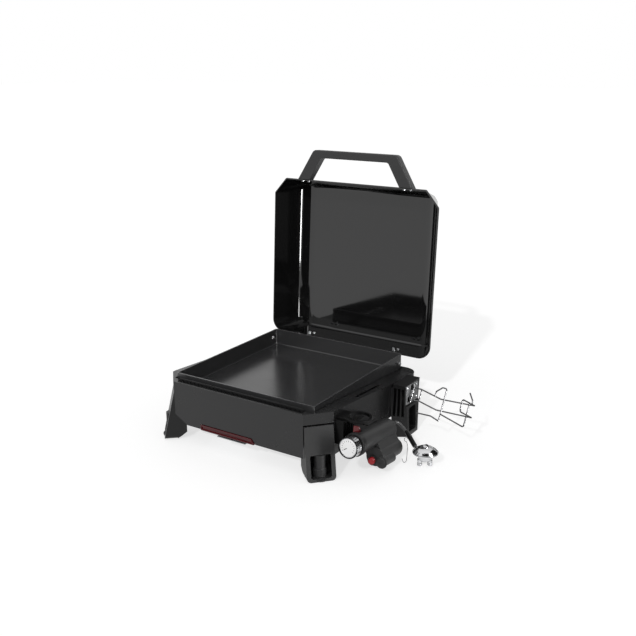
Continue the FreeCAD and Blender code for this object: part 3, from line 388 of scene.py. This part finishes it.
bpy.ops.mesh.primitive_cube_add(size=1.0, location=(0.0, 0.0, 0.0))
pull = bpy.context.active_object
pull.name = "tray_pull"
edit(pull)
bpy.ops.transform.resize(value=(PULL_LONG, PULL_DEEP, PULL_TALL))
pick_edges(pull, upper_corner)
bpy.ops.mesh.bevel(offset=PULL_CORNER, segments=1, affect="EDGES")
pick_edges(pull, front_edge)
bpy.ops.mesh.bevel(offset=PULL_ROUND, segments=3, affect="EDGES")
bpy.ops.mesh.select_mode(type="FACE")
pick(pull, large_front)
stepped(CHANNEL_STEPS)
leave(pull, Matrix.Translation(PULL_AT))
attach(pull, "tray")
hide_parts("tray_handle")
print("pull faces", len(pull.data.polygons))

# %% [markdown]
# The regulator's top is a stamped steel dome. Each step of the press leaves a ring, and the
# crimped edge stands below it. One chain of insets from the rim to the centre boss draws all
# of these rings.

# %% Regulator dome
DOME_AT = (0.341, -0.111, 0.040)
DOME_RADIUS, DOME_RIM = 31.5, 1.5
DOME_STEPS = [
    (0.9, 1.0), (2.6, 3.0), (0.9, -0.8), (1.6, 2.1), (3.5, 2.9), (0.9, -0.7), (1.6, 1.5),
    (5.5, 2.3), (5.0, 0.9), (1.0, 0.2), (0.05, 3.1), (1.4, 1.4), (2.2, -0.5),
]
dome = turned_piece("stamped_dome", DOME_RADIUS, DOME_RIM, DOME_STEPS, sides=72,
                    place=Matrix.Translation(DOME_AT))
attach(dome, "base")
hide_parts("regulator_dome")
print("dome faces", len(dome.data.polygons))

# %% [markdown]
# Every screw that shows has a domed head with a driver's recess. One head is modelled, and
# each set is a run of copies with meshes of their own, put where the solids have theirs. The
# studs that carry the cooktop have their heads inside its walls and six-sided nuts outside.

# %% Screws
HEAD_BRIM = 0.35
HEAD_STEPS = ((0.10, 0.30), (0.25, 0.25), (0.25, 0.10), (0.06, -0.55))
RACK_SCREW, STUD = (4.2, 2.2, 2.0), (6.0, 2.4, 11.5)
NUT_RADIUS, NUT_TALL, NUT_STEPS = 5.7, 4.2, [(0.5, 0.3)]
MIDDLE_X, MIDDLE_Y = 91.0, 65.0
RACK_SCREWS_X, RACK_SCREWS_YZ = 312.2, ((140.0, 138.0), (140.0, 102.0), (84.0, 142.0))
FRONT_STUDS_X, FRONT_STUDS_Z = 206.0, 159.0
SIDE_STUDS_Y, SIDE_STUDS_Z = 204.0, 160.0
STUDS_FRONT, STUDS_SIDE = 237.0, 218.0
NUTS_FRONT, NUTS_SIDE = 240.0, 221.0


def screw_head(name, radius, height, shank, place):
    # A domed head on its shank. The head's steps are shares of its radius and height.
    steps = [(radius * inward, height * rise) for inward, rise in HEAD_STEPS]
    head = turned_piece(name, radius, height * HEAD_BRIM, steps, sides=24,
                        place=Matrix.Identity(4))
    edit(head)
    pick(head, underneath)
    stepped([(radius * 0.5, 0.0)])
    lower = {"value": (0.0, 0.0, -shank / 1000)}
    bpy.ops.mesh.extrude_region_move(TRANSFORM_OT_translate=lower)
    leave(head, place)
    return head


def screw_set(name, node_name, body, size, places):
    # The size is the radius and height of the head and the length of the shank.
    made = run_of_copies(screw_head(name + "_1", *size, places[0]), name, places)
    for screw in made:
        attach(screw, body)
    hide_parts(node_name)
    return made


def shifted(x, y, z):
    # From millimetres measured off the cooktop's middle to the shared frame in metres.
    return Vector((x - MIDDLE_X, y - MIDDLE_Y, z)) / 1000


def wall_places(front, side, look):
    # Two places on the cooktop's front wall and one on each side wall. Look is 1 for heads
    # that look into the cooktop and -1 for nuts that look out of it.
    on_front = [facing(shifted(x, -front, FRONT_STUDS_Z), (0.0, look, 0.0), UP)
                for x in (-FRONT_STUDS_X, FRONT_STUDS_X)]
    on_sides = [facing(shifted(hand * side, SIDE_STUDS_Y, SIDE_STUDS_Z),
                       (-hand * look, 0.0, 0.0), UP) for hand in (-1, 1)]
    return on_front + on_sides


rack_places = [facing(shifted(RACK_SCREWS_X, y, z), RIGHT, UP) for y, z in RACK_SCREWS_YZ]
rack_heads = screw_set("rack_screw", "rack_screws", "base", RACK_SCREW,
                       rack_places)
stud_heads = screw_set("cooktop_stud", "cooktop_studs", "base", STUD,
                       wall_places(STUDS_FRONT, STUDS_SIDE, look=1.0))
nut_places = wall_places(NUTS_FRONT, NUTS_SIDE, look=-1.0)
first_nut = turned_piece("stud_nut_1", NUT_RADIUS, NUT_TALL, NUT_STEPS, sides=6,
                         place=nut_places[0])
stud_nuts = run_of_copies(first_nut, "stud_nut", nut_places)
for nut in stud_nuts:
    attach(nut, "base")
print("screws", len(rack_heads) + len(stud_heads), "nuts", len(stud_nuts))

# %% [markdown]
# The two levelling wheels under the front corners are turned by hand, so their rims are
# ribbed. One wheel is modelled, from its top down: a ribbed blank, then a hub and the foot
# screw drawn out of its underside. The second is its copy on the other side.

# %% Levelling wheels
WHEEL_RIGHT = Matrix.Translation((0.1509, -0.3120, 0.0100))
WHEEL_LEFT = Matrix.Translation((-0.3329, -0.3120, 0.0100))
WHEEL_RADIUS, WHEEL_TALL, WHEEL_RIBS = 16.5, 19.8, 0.8
WHEEL_STEPS = [(0.9, 0.9), (1.6, 0.3), (0.4, 1.2), (5.0, 0.3)]
HUB_STEPS = [(2.2, 0.0), (0.4, 1.6), (9.6, 0.2), (0.1, 4.9)]
wheel = turned_piece("ribbed_wheel_right", WHEEL_RADIUS, WHEEL_TALL, WHEEL_STEPS, sides=48,
                     place=Matrix.Identity(4), ribs=WHEEL_RIBS)
edit(wheel)
pick(wheel, underneath)
stepped(HUB_STEPS)
leave(wheel, WHEEL_RIGHT)
wheel_twin = copied(wheel, "ribbed_wheel_left", WHEEL_RIGHT, WHEEL_LEFT)
for piece, side in ((wheel, "right"), (wheel_twin, "left")):
    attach(piece, "wheel_" + side)
    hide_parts("levelling_wheel_" + side)

# %% [markdown]
# The match holder is one thin wire. It grips the hose with a ring, turns a small eye and runs
# down beside the regulator to a hook that holds the match. Its turns are set point by point.

# %% Match holder
PIN_WIDE = 0.0013
PIN_AXIS = (Vector(HOSE_ROUTE[5]) - Vector(HOSE_ROUTE[4])).normalized()
PIN_ACROSS = UP.cross(PIN_AXIS).normalized()
PIN_OVER = PIN_AXIS.cross(PIN_ACROSS)
RING_MIDDLE = Vector((0.2716, -0.0616, 0.0439))
RING_RADIUS = 0.0069
RING_POINTS, RING_START, RING_STEP = 17, 250, -24
BELOW_RING = [
    (0.2710, -0.0760, 0.0478), (0.2672, -0.0820, 0.0486), (0.2658, -0.0822, 0.0440),
    (0.2674, -0.0822, 0.0398), (0.2722, -0.0850, 0.0410), (0.2762, -0.0885, 0.0420),
    (0.2812, -0.0930, 0.0375), (0.2869, -0.1050, 0.0227), (0.2908, -0.1150, 0.0066),
    (0.2914, -0.1205, 0.0022), (0.2887, -0.1245, 0.0014), (0.2850, -0.1250, 0.0026),
    (0.2828, -0.1250, 0.0114),
]
pin_route = []
for number in range(RING_POINTS):
    turn = math.radians(RING_START + RING_STEP * number)
    outward = PIN_ACROSS * math.cos(turn) + PIN_OVER * math.sin(turn)
    pin_route.append(RING_MIDDLE + outward * RING_RADIUS)
pin_route += [Vector(place) for place in BELOW_RING]
match_pin = tube("match_pin", pin_route, [PIN_WIDE / 2] * len(pin_route), along=6, around=4)
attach(match_pin, "base")
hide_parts("match_holder")

# %% [markdown]
# Effects that several finishes share are node groups, built once: the grain of a coated or
# moulded surface, a lighter tone along edges that is partly wear and partly a painted highlight,
# and drawn lines on bare metal. Each puts out only a mask or a height. The shader itself stays
# in each material.

# %% Shared effects
def new_group(name, inputs, outputs):
    group = bpy.data.node_groups.new(name, "ShaderNodeTree")
    for socket, kind, value in inputs:
        made = group.interface.new_socket(socket, in_out="INPUT", socket_type=kind)
        made.default_value = value
    for socket in outputs:
        group.interface.new_socket(socket, in_out="OUTPUT", socket_type="NodeSocketFloat")
    return group, group.nodes.new("NodeGroupInput"), group.nodes.new("NodeGroupOutput")


def node(tree, kind, sets=(), links=()):
    made = tree.nodes.new(kind)
    for key, value in dict(sets).items():
        if isinstance(key, str) and hasattr(made, key):
            setattr(made, key, value)
        else:
            made.inputs[key].default_value = value
    for key, source in dict(links).items():
        tree.links.new(source, made.inputs[key])
    return made


def grain_group():
    group, start, end = new_group(
        "coated_grain",
        [("Fineness", "NodeSocketFloat", 900.0), ("Patch", "NodeSocketFloat", 9.0)],
        ["Height", "Patches"],
    )
    place = node(group, "ShaderNodeTexCoord").outputs["Object"]
    fine = node(group, "ShaderNodeTexNoise", {"Detail": 3.0, "Roughness": 0.55},
                {"Vector": place, "Scale": start.outputs["Fineness"]})
    broad = node(group, "ShaderNodeTexNoise", {"Detail": 5.0, "Roughness": 0.6},
                 {"Vector": place, "Scale": start.outputs["Patch"]})
    group.links.new(fine.outputs["Fac"], end.inputs["Height"])
    group.links.new(broad.outputs["Fac"], end.inputs["Patches"])
    return group


def edge_wear_and_highlight_group():
    # The rounded normal turns away from the face's own only near an edge. The edges it finds
    # get a paler tone: partly wear, partly a painted highlight.
    group, start, end = new_group(
        "edge_wear_and_highlight",
        [("Gain", "NodeSocketFloat", 6.0), ("Breakup", "NodeSocketFloat", 60.0)],
        ["Mask"],
    )
    soft = node(group, "ShaderNodeBevel", {"samples": 4, "Radius": 0.0012})
    hard = node(group, "ShaderNodeNewGeometry")
    alike = node(group, "ShaderNodeVectorMath", {"operation": "DOT_PRODUCT"},
                 {0: soft.outputs["Normal"], 1: hard.outputs["Normal"]})
    turned = node(group, "ShaderNodeMath", {"operation": "SUBTRACT", 0: 1.0},
                  {1: alike.outputs["Value"]})
    gained = node(group, "ShaderNodeMath", {"operation": "MULTIPLY"},
                  {0: turned.outputs[0], 1: start.outputs["Gain"]})
    place = node(group, "ShaderNodeTexCoord").outputs["Object"]
    broken = node(group, "ShaderNodeTexNoise", {"Detail": 4.0},
                  {"Vector": place, "Scale": start.outputs["Breakup"]})
    mixed = node(group, "ShaderNodeMath", {"operation": "MULTIPLY", "use_clamp": True},
                 {0: gained.outputs[0], 1: broken.outputs["Fac"]})
    group.links.new(mixed.outputs[0], end.inputs["Mask"])
    return group


def drawn_group():
    # Noise that is stretched along one axis gives lines, and even noise gives soft patches.
    group, start, end = new_group(
        "drawn_lines",
        [("Stretch", "NodeSocketVector", (30.0, 900.0, 900.0))],
        ["Height", "Tone"],
    )
    place = node(group, "ShaderNodeTexCoord").outputs["Object"]
    long_way = node(group, "ShaderNodeVectorMath", {"operation": "MULTIPLY"},
                    {0: place, 1: start.outputs["Stretch"]})
    lines = node(group, "ShaderNodeTexNoise", {"Scale": 1.0, "Detail": 3.0},
                 {"Vector": long_way.outputs[0]})
    broad = node(group, "ShaderNodeTexNoise", {"Scale": 14.0, "Detail": 4.0},
                 {"Vector": place})
    group.links.new(lines.outputs["Fac"], end.inputs["Height"])
    group.links.new(broad.outputs["Fac"], end.inputs["Tone"])
    return group


COATED_GRAIN = grain_group()
EDGE_WEAR_AND_HIGHLIGHT = edge_wear_and_highlight_group()
DRAWN_LINES = drawn_group()
print("groups", [group.name for group in bpy.data.node_groups])

# %% [markdown]
# Each finish is one material. A painted, enamelled or moulded surface is a dark base with a
# grain in its bump, a roughness that drifts from patch to patch, and a paler tone along its
# edges, partly wear where they are handled and partly a painted highlight. Bare metal swaps the
# grain for drawn lines. One function builds the coated kind and one the metal kind. Two more
# paint shade into the base colour: a dark outline on thin plated pieces, and dark bands for the
# shade and dirt in the grooves of the knob's ring.

# %% Ways to build a finish
# The sockets of a mix node for colours, which share their names with other kinds.
MIX_FACTOR, MIX_FIRST, MIX_SECOND, MIX_RESULT = 0, 6, 7, 2


def new_material(name):
    material = bpy.data.materials.new(name)
    material.use_nodes = True
    tree = material.node_tree
    return material, tree, tree.nodes["Principled BSDF"]


def grey(level):
    # A grey with a trace of blue.
    return (level, level, level * 1.03)


def spread(tree, source, low, high, begin=0.3, stop=0.7):
    return node(tree, "ShaderNodeMapRange",
                {"From Min": begin, "From Max": stop, "To Min": low, "To Max": high},
                {"Value": source}).outputs["Result"]


def tint(tree, factor, first, second):
    mix = node(tree, "ShaderNodeMix", {"data_type": "RGBA"})
    mix.inputs[MIX_FIRST].default_value = (*first, 1.0)
    mix.inputs[MIX_SECOND].default_value = (*second, 1.0)
    tree.links.new(factor, mix.inputs[MIX_FACTOR])
    return mix.outputs[MIX_RESULT]


def bumped(tree, shader, height, strength, depth):
    # The depth is in millimetres.
    bump = node(tree, "ShaderNodeBump", {"Strength": strength, "Distance": depth / 1000},
                {"Height": height})
    tree.links.new(bump.outputs["Normal"], shader.inputs["Normal"])


def coated(name, colour, edge_wear_and_highlight_tone, smooth, rough, fineness, depth, patch, gain, ior):
    material, tree, shader = new_material(name)
    grain = node(tree, "ShaderNodeGroup", {"node_tree": COATED_GRAIN})
    grain.inputs["Fineness"].default_value = fineness
    grain.inputs["Patch"].default_value = patch
    edge = node(tree, "ShaderNodeGroup", {"node_tree": EDGE_WEAR_AND_HIGHLIGHT})
    edge.inputs["Gain"].default_value = gain
    # Paler edges: partly wear, partly a painted highlight.
    tone = tint(tree, edge.outputs["Mask"], colour, edge_wear_and_highlight_tone)
    tree.links.new(tone, shader.inputs["Base Color"])
    dull = spread(tree, grain.outputs["Patches"], smooth, rough)
    tree.links.new(dull, shader.inputs["Roughness"])
    bumped(tree, shader, grain.outputs["Height"], 0.5, depth)
    shader.inputs["IOR"].default_value = ior
    return material


def bare_metal(name, colour, tone, smooth, rough, stretch, depth):
    material, tree, shader = new_material(name)
    lines = node(tree, "ShaderNodeGroup", {"node_tree": DRAWN_LINES})
    lines.inputs["Stretch"].default_value = stretch
    shader.inputs["Metallic"].default_value = 1.0
    factor = spread(tree, lines.outputs["Tone"], 0.0, 1.0)
    tree.links.new(tint(tree, factor, colour, tone), shader.inputs["Base Color"])
    dull = spread(tree, lines.outputs["Tone"], smooth, rough)
    tree.links.new(dull, shader.inputs["Roughness"])
    bumped(tree, shader, lines.outputs["Height"], 0.4, depth)
    return material


def over_base(material, factor, colour):
    # The base colour gives way to another where the factor is 1.
    tree = material.node_tree
    base = tree.nodes["Principled BSDF"].inputs["Base Color"]
    mix = node(tree, "ShaderNodeMix", {"data_type": "RGBA"})
    mix.inputs[MIX_SECOND].default_value = (*colour, 1.0)
    tree.links.new(factor, mix.inputs[MIX_FACTOR])
    tree.links.new(base.links[0].from_socket, mix.inputs[MIX_FIRST])
    tree.links.new(mix.outputs[MIX_RESULT], base)


def painted_dark_outline(material, dark, blend):
    # Painted shade: bright plate on thin or round shapes goes dark towards its outline, as a
    # darker reflection there would make it.
    painted_outline_mask = node(material.node_tree, "ShaderNodeLayerWeight", {"Blend": blend})
    over_base(material, painted_outline_mask.outputs["Facing"], grey(dark))


def groove_shade_and_dirt(material, axis, first_groove, pitch):
    # Dark bands across the axis of the knob's ring, painted shade and dirt for the grooves
    # turned into it.
    tree = material.node_tree
    place = node(tree, "ShaderNodeTexCoord").outputs["Object"]
    along = node(tree, "ShaderNodeVectorMath", {"operation": "DOT_PRODUCT", 1: axis},
                 {0: place})
    from_first = node(tree, "ShaderNodeMath", {"operation": "SUBTRACT", 1: first_groove},
                      {0: along.outputs["Value"]})
    away = node(tree, "ShaderNodeMath", {"operation": "PINGPONG", 1: pitch / 2},
                {0: from_first.outputs[0]})
    mask = spread(tree, away.outputs[0], 1.0, 0.0, pitch * 0.12, pitch * 0.24)
    over_base(material, mask, grey(0.02))


print("finish builders: coated, bare_metal, edged, grooved")

# %% [markdown]
# The finishes differ only by the numbers in two tables. A coated row holds the base tone, the
# tone of its edges, partly wear and partly a painted highlight, the smoothest and roughest
# patch, the grain's fineness and its depth in millimetres, the patches' scale, the gain of the
# edge tone and the index of refraction. A metal row holds two tones, the two ends of its
# roughness, the stretch of its lines and their depth.
# Each solid wears the finish of its material slot, apart from a few that have one of their own.

# %% Finishes
LINES_ACROSS, EVEN_FINE = (30.0, 900.0, 900.0), (400.0, 400.0, 400.0)
EVEN, EVEN_BROAD = (300.0, 300.0, 300.0), (200.0, 200.0, 200.0)
# The second tone, for the edges, is partly wear and partly a painted highlight; on cook_steel it
# is mostly painted highlight.
COATED = {
    "black_enamel": (grey(0.006), grey(0.02), 0.045, 0.08, 260.0, 0.006, 5.0, 3.0, 1.60),
    "body_paint": (grey(0.015), grey(0.03), 0.22, 0.30, 1400.0, 0.012, 6.0, 6.0, 1.42),
    "cook_steel": (grey(0.030), grey(0.25), 0.18, 0.25, 700.0, 0.006, 7.0, 9.0, 1.50),
    "moulded_black": (grey(0.014), grey(0.03), 0.44, 0.54, 1800.0, 0.04, 8.0, 6.0, 1.42),
    "leg_black": (grey(0.008), grey(0.02), 0.36, 0.46, 1600.0, 0.03, 8.0, 6.0, 1.38),
    "handle_black": (grey(0.016), grey(0.03), 0.40, 0.50, 1600.0, 0.04, 8.0, 6.0, 1.45),
    "ring_black": (grey(0.003), grey(0.01), 0.30, 0.40, 1600.0, 0.02, 8.0, 6.0, 1.22),
    "rubber": (grey(0.010), grey(0.02), 0.40, 0.55, 1200.0, 0.05, 8.0, 6.0, 1.40),
    "hose_grey": (grey(0.036), grey(0.06), 0.38, 0.50, 1200.0, 0.05, 8.0, 6.0, 1.50),
    "red_plastic": ((0.33, 0.006, 0.012), (0.5, 0.03, 0.03), 0.25, 0.34, 1100.0, 0.02,
                    9.0, 6.0, 1.50),
    "dark_red": ((0.060, 0.004, 0.006), (0.20, 0.02, 0.025), 0.16, 0.26, 1100.0, 0.01,
                 9.0, 10.0, 1.42),
    "lock_red": ((0.12, 0.003, 0.006), (0.4, 0.03, 0.03), 0.16, 0.24, 1100.0, 0.02,
                 9.0, 6.0, 1.50),
    "white_face": ((0.94, 0.94, 0.94), (0.96, 0.96, 0.96), 0.28, 0.36, 1100.0, 0.01,
                   9.0, 6.0, 1.50),
}
METAL = {
    "zinc_steel": ((0.40, 0.41, 0.42), (0.56, 0.57, 0.58), 0.26, 0.38, LINES_ACROSS, 0.01),
    "galvanised": ((0.14, 0.142, 0.145), (0.31, 0.312, 0.315), 0.42, 0.55, EVEN_BROAD, 0.01),
    "stainless": ((0.40, 0.40, 0.41), (0.50, 0.50, 0.50), 0.24, 0.34, LINES_ACROSS, 0.01),
    "brass": ((0.70, 0.52, 0.24), (0.78, 0.60, 0.32), 0.24, 0.36, LINES_ACROSS, 0.01),
    "wire_plate": ((0.10, 0.10, 0.103), (0.22, 0.22, 0.224), 0.14, 0.24, EVEN_FINE, 0.01),
    "pin_wire": ((0.045, 0.045, 0.047), (0.10, 0.10, 0.102), 0.14, 0.24, EVEN_FINE, 0.01),
    "chrome": ((0.66, 0.67, 0.69), (0.74, 0.74, 0.75), 0.06, 0.14, EVEN, 0.003),
    "knob_chrome": ((0.70, 0.71, 0.73), (0.78, 0.78, 0.79), 0.16, 0.24, EVEN, 0.003),
}
# Painted shade: these finishes go dark towards their outline.
PAINTED_OUTLINE_SHADES = {"wire_plate": (0.02, 0.55), "pin_wire": (0.01, 0.60), "chrome": (0.05, 0.35)}
FIRST_GROOVE, GROOVE_PITCH = -0.0004, 0.0050
# The legs are one material, yet the right front leg wears the lighter moulded_black and the
# others leg_black: painted light on that leg.
OWN_FINISH = {
    "rear_leg_right": "leg_black", "rear_leg_left": "leg_black",
    "front_leg_right": "moulded_black", "front_leg_left": "leg_black",
    "ring_bracket": "ring_black", "knob_bezel": "leg_black",
    "control_knob": "knob_chrome", "lock_tab": "lock_red", "tray_handle": "dark_red",
    "hose_ferrule": "rubber", "hose_end": "rubber",
}
finishes = {name: coated(name, *row) for name, row in COATED.items()}
finishes.update({name: bare_metal(name, *row) for name, row in METAL.items()})
for name, (dark, blend) in PAINTED_OUTLINE_SHADES.items():
    painted_dark_outline(finishes[name], dark, blend)
# Painted shade and dirt: dark bands in the knob's grooves.
groove_shade_and_dirt(finishes["knob_chrome"], tuple(UNIT_REAR), UNIT_AT.dot(UNIT_REAR) + FIRST_GROOVE,
        GROOVE_PITCH)


def dress(pieces, finish):
    for piece in pieces:
        piece.data.materials.clear()
        piece.data.materials.append(finishes[finish])


for part in frame["record"]["subparts"]:
    finish = OWN_FINISH.get(part["node"], part["material_slot"])
    dress([frame["nodes"][part["node"]]], finish)
dress([hose], "hose_grey")
dress([match_pin], "pin_wire")
dress([sleeve], "ring_black")
dress([dial], "white_face")
dress([button], "red_plastic")
dress([dome], "chrome")
dress([pull], "dark_red")
dress([cell_cap, wheel, wheel_twin, *dial_marks], "moulded_black")
dress(rack_heads, "zinc_steel")
dress(stud_heads + stud_nuts, "stainless")

# %% [markdown]
# The stage is a plain pale floor that stays white to the camera and still shows a soft shadow:
# it glows a little, but only for the camera and in reflections. Dark cards stand in the right
# front and on the right, and a grey one lies on the floor at the right. Only reflections see
# them. They put the dark bands into the lid's bend, the body's side and the plated pieces, as
# black cards in a studio do. The grey card on the floor is painted shade: it stands for the
# floor in shade at the right, as the body's side and the plated pieces reflect it.

# %% Floor and cards
FLOOR_WIDE, FLOOR_DROP = 60.0, -0.0005
FLOOR_TONE, FLOOR_GLOW = 0.45, 0.655
CARD_TONE, FLOOR_SHADE_CARD_TONE = 0.01, 0.40


def matt(name, tone):
    material, tree, shader = new_material(name)
    shader.inputs["Base Color"].default_value = (tone, tone, tone, 1.0)
    shader.inputs["Roughness"].default_value = 0.9
    shader.inputs["Specular IOR Level"].default_value = 0.0
    return material, tree, shader


def seen_by(tree, *kinds):
    # One where the ray is of any of these kinds, and nought elsewhere.
    ray = node(tree, "ShaderNodeLightPath")
    seen = ray.outputs[f"Is {kinds[0]} Ray"]
    for kind in kinds[1:]:
        seen = node(tree, "ShaderNodeMath", {"operation": "MAXIMUM"},
                    {0: seen, 1: ray.outputs[f"Is {kind} Ray"]}).outputs[0]
    return seen


def dark_card(name, start, end, tall, up=UP, tone=CARD_TONE):
    # A card over the line from start to end, upright or lying, seen by reflections alone.
    start, end, up = Vector((*start, 0.0)), Vector((*end, 0.0)), Vector(up)
    middle = (start + end) / 2 + up * tall / 2
    along = (end - start).normalized()
    turn = Matrix((along, up, along.cross(up))).transposed().to_4x4()
    wide = Matrix.Diagonal(((end - start).length, tall, 1.0, 1.0))
    bpy.ops.mesh.primitive_plane_add(size=1.0, location=(0.0, 0.0, 0.0))
    card = bpy.context.active_object
    card.name = name
    card.data.transform(Matrix.Translation(middle) @ turn @ wide)
    card.data.materials.append(matt(name, tone)[0])
    card.visible_camera = False
    card.visible_diffuse = False
    card.visible_shadow = False
    card.visible_transmission = False


bpy.ops.mesh.primitive_plane_add(size=FLOOR_WIDE, location=(0.0, 0.0, FLOOR_DROP))
floor = bpy.context.active_object
floor.name = "floor"
floor_material, floor_tree, floor_shader = matt("floor", FLOOR_TONE)
floor_glow = node(floor_tree, "ShaderNodeMath", {"operation": "MULTIPLY", 1: FLOOR_GLOW},
                  {0: seen_by(floor_tree, "Camera", "Glossy")})
floor_shader.inputs["Emission Color"].default_value = (1.0, 1.0, 1.0, 1.0)
floor_tree.links.new(floor_glow.outputs[0], floor_shader.inputs["Emission Strength"])
floor.data.materials.append(floor_material)
dark_card("card_front", (-0.10, -1.35), (1.30, -0.45), 1.6)
dark_card("card_right", (0.95, 0.05), (0.75, 1.60), 0.9)
# Painted shade: the grey card lying on the floor stands for the shaded floor at the right.
dark_card("card_floor_shade", (0.24, 0.80), (0.24, 0.02), 0.34, up=RIGHT, tone=FLOOR_SHADE_CARD_TONE)

# %% [markdown]
# The world is white in reflections, so that enamel and chrome mirror a bright studio, and
# softer as a source of light. The key is a sun from the front, a little to the right, as the
# photograph's shadow shows: an area lamp would have to be huge to give one even shadow. The sun
# stays out of reflections. Two lamps are seen in reflections alone: a softbox that lies as a
# glow on the cooktop, and a tall strip that draws the bright line down the lid's bend.

# %% World and lamps
WORLD_LIGHT, WORLD_SEEN = 0.62, 1.0
KEY_FROM = Vector((0.126, -0.815, 0.566))
KEY_STRENGTH, KEY_SOFT = 1.15, math.radians(2.5)
LAMP_WATTS = 60.0
world = bpy.data.worlds.new("studio")
bpy.context.scene.world = world
world.use_nodes = True
sky = world.node_tree.nodes["Background"]
sky.inputs["Color"].default_value = (1.0, 1.0, 1.0, 1.0)
sky_level = node(world.node_tree, "ShaderNodeMapRange",
                 {"To Min": WORLD_LIGHT, "To Max": WORLD_SEEN},
                 {"Value": seen_by(world.node_tree, "Camera", "Glossy", "Transmission")})
world.node_tree.links.new(sky_level.outputs["Result"], sky.inputs["Strength"])


def mirrored_lamp(name, place, aim, wide, tall):
    light = bpy.data.lights.new(name, "AREA")
    light.shape = "RECTANGLE"
    light.size = wide
    light.size_y = tall
    light.energy = LAMP_WATTS
    made = bpy.data.objects.new(name, light)
    made.location = place
    made.rotation_euler = (Vector(aim) - Vector(place)).to_track_quat("-Z", "Y").to_euler()
    made.visible_camera = False
    made.visible_diffuse = False
    collection.objects.link(made)


mirrored_lamp("softbox", (0.45, -2.75, 1.95), (0.0, 0.1, 0.2), 1.5, 1.5)
sun = bpy.data.lights.new("key", "SUN")
sun.energy = KEY_STRENGTH
sun.angle = KEY_SOFT
key = bpy.data.objects.new("key", sun)
key.rotation_euler = KEY_FROM.to_track_quat("Z", "Y").to_euler()
key.visible_glossy = False
collection.objects.link(key)
mirrored_lamp("strip", (1.60, -0.12, 0.70), (-0.32, 0.32, 0.40), 0.30, 1.4)

# %% [markdown]
# Last, the view layer is brought up to date, because a new object's box counts only from then
# on.

# %% Last update
bpy.context.view_layer.update()
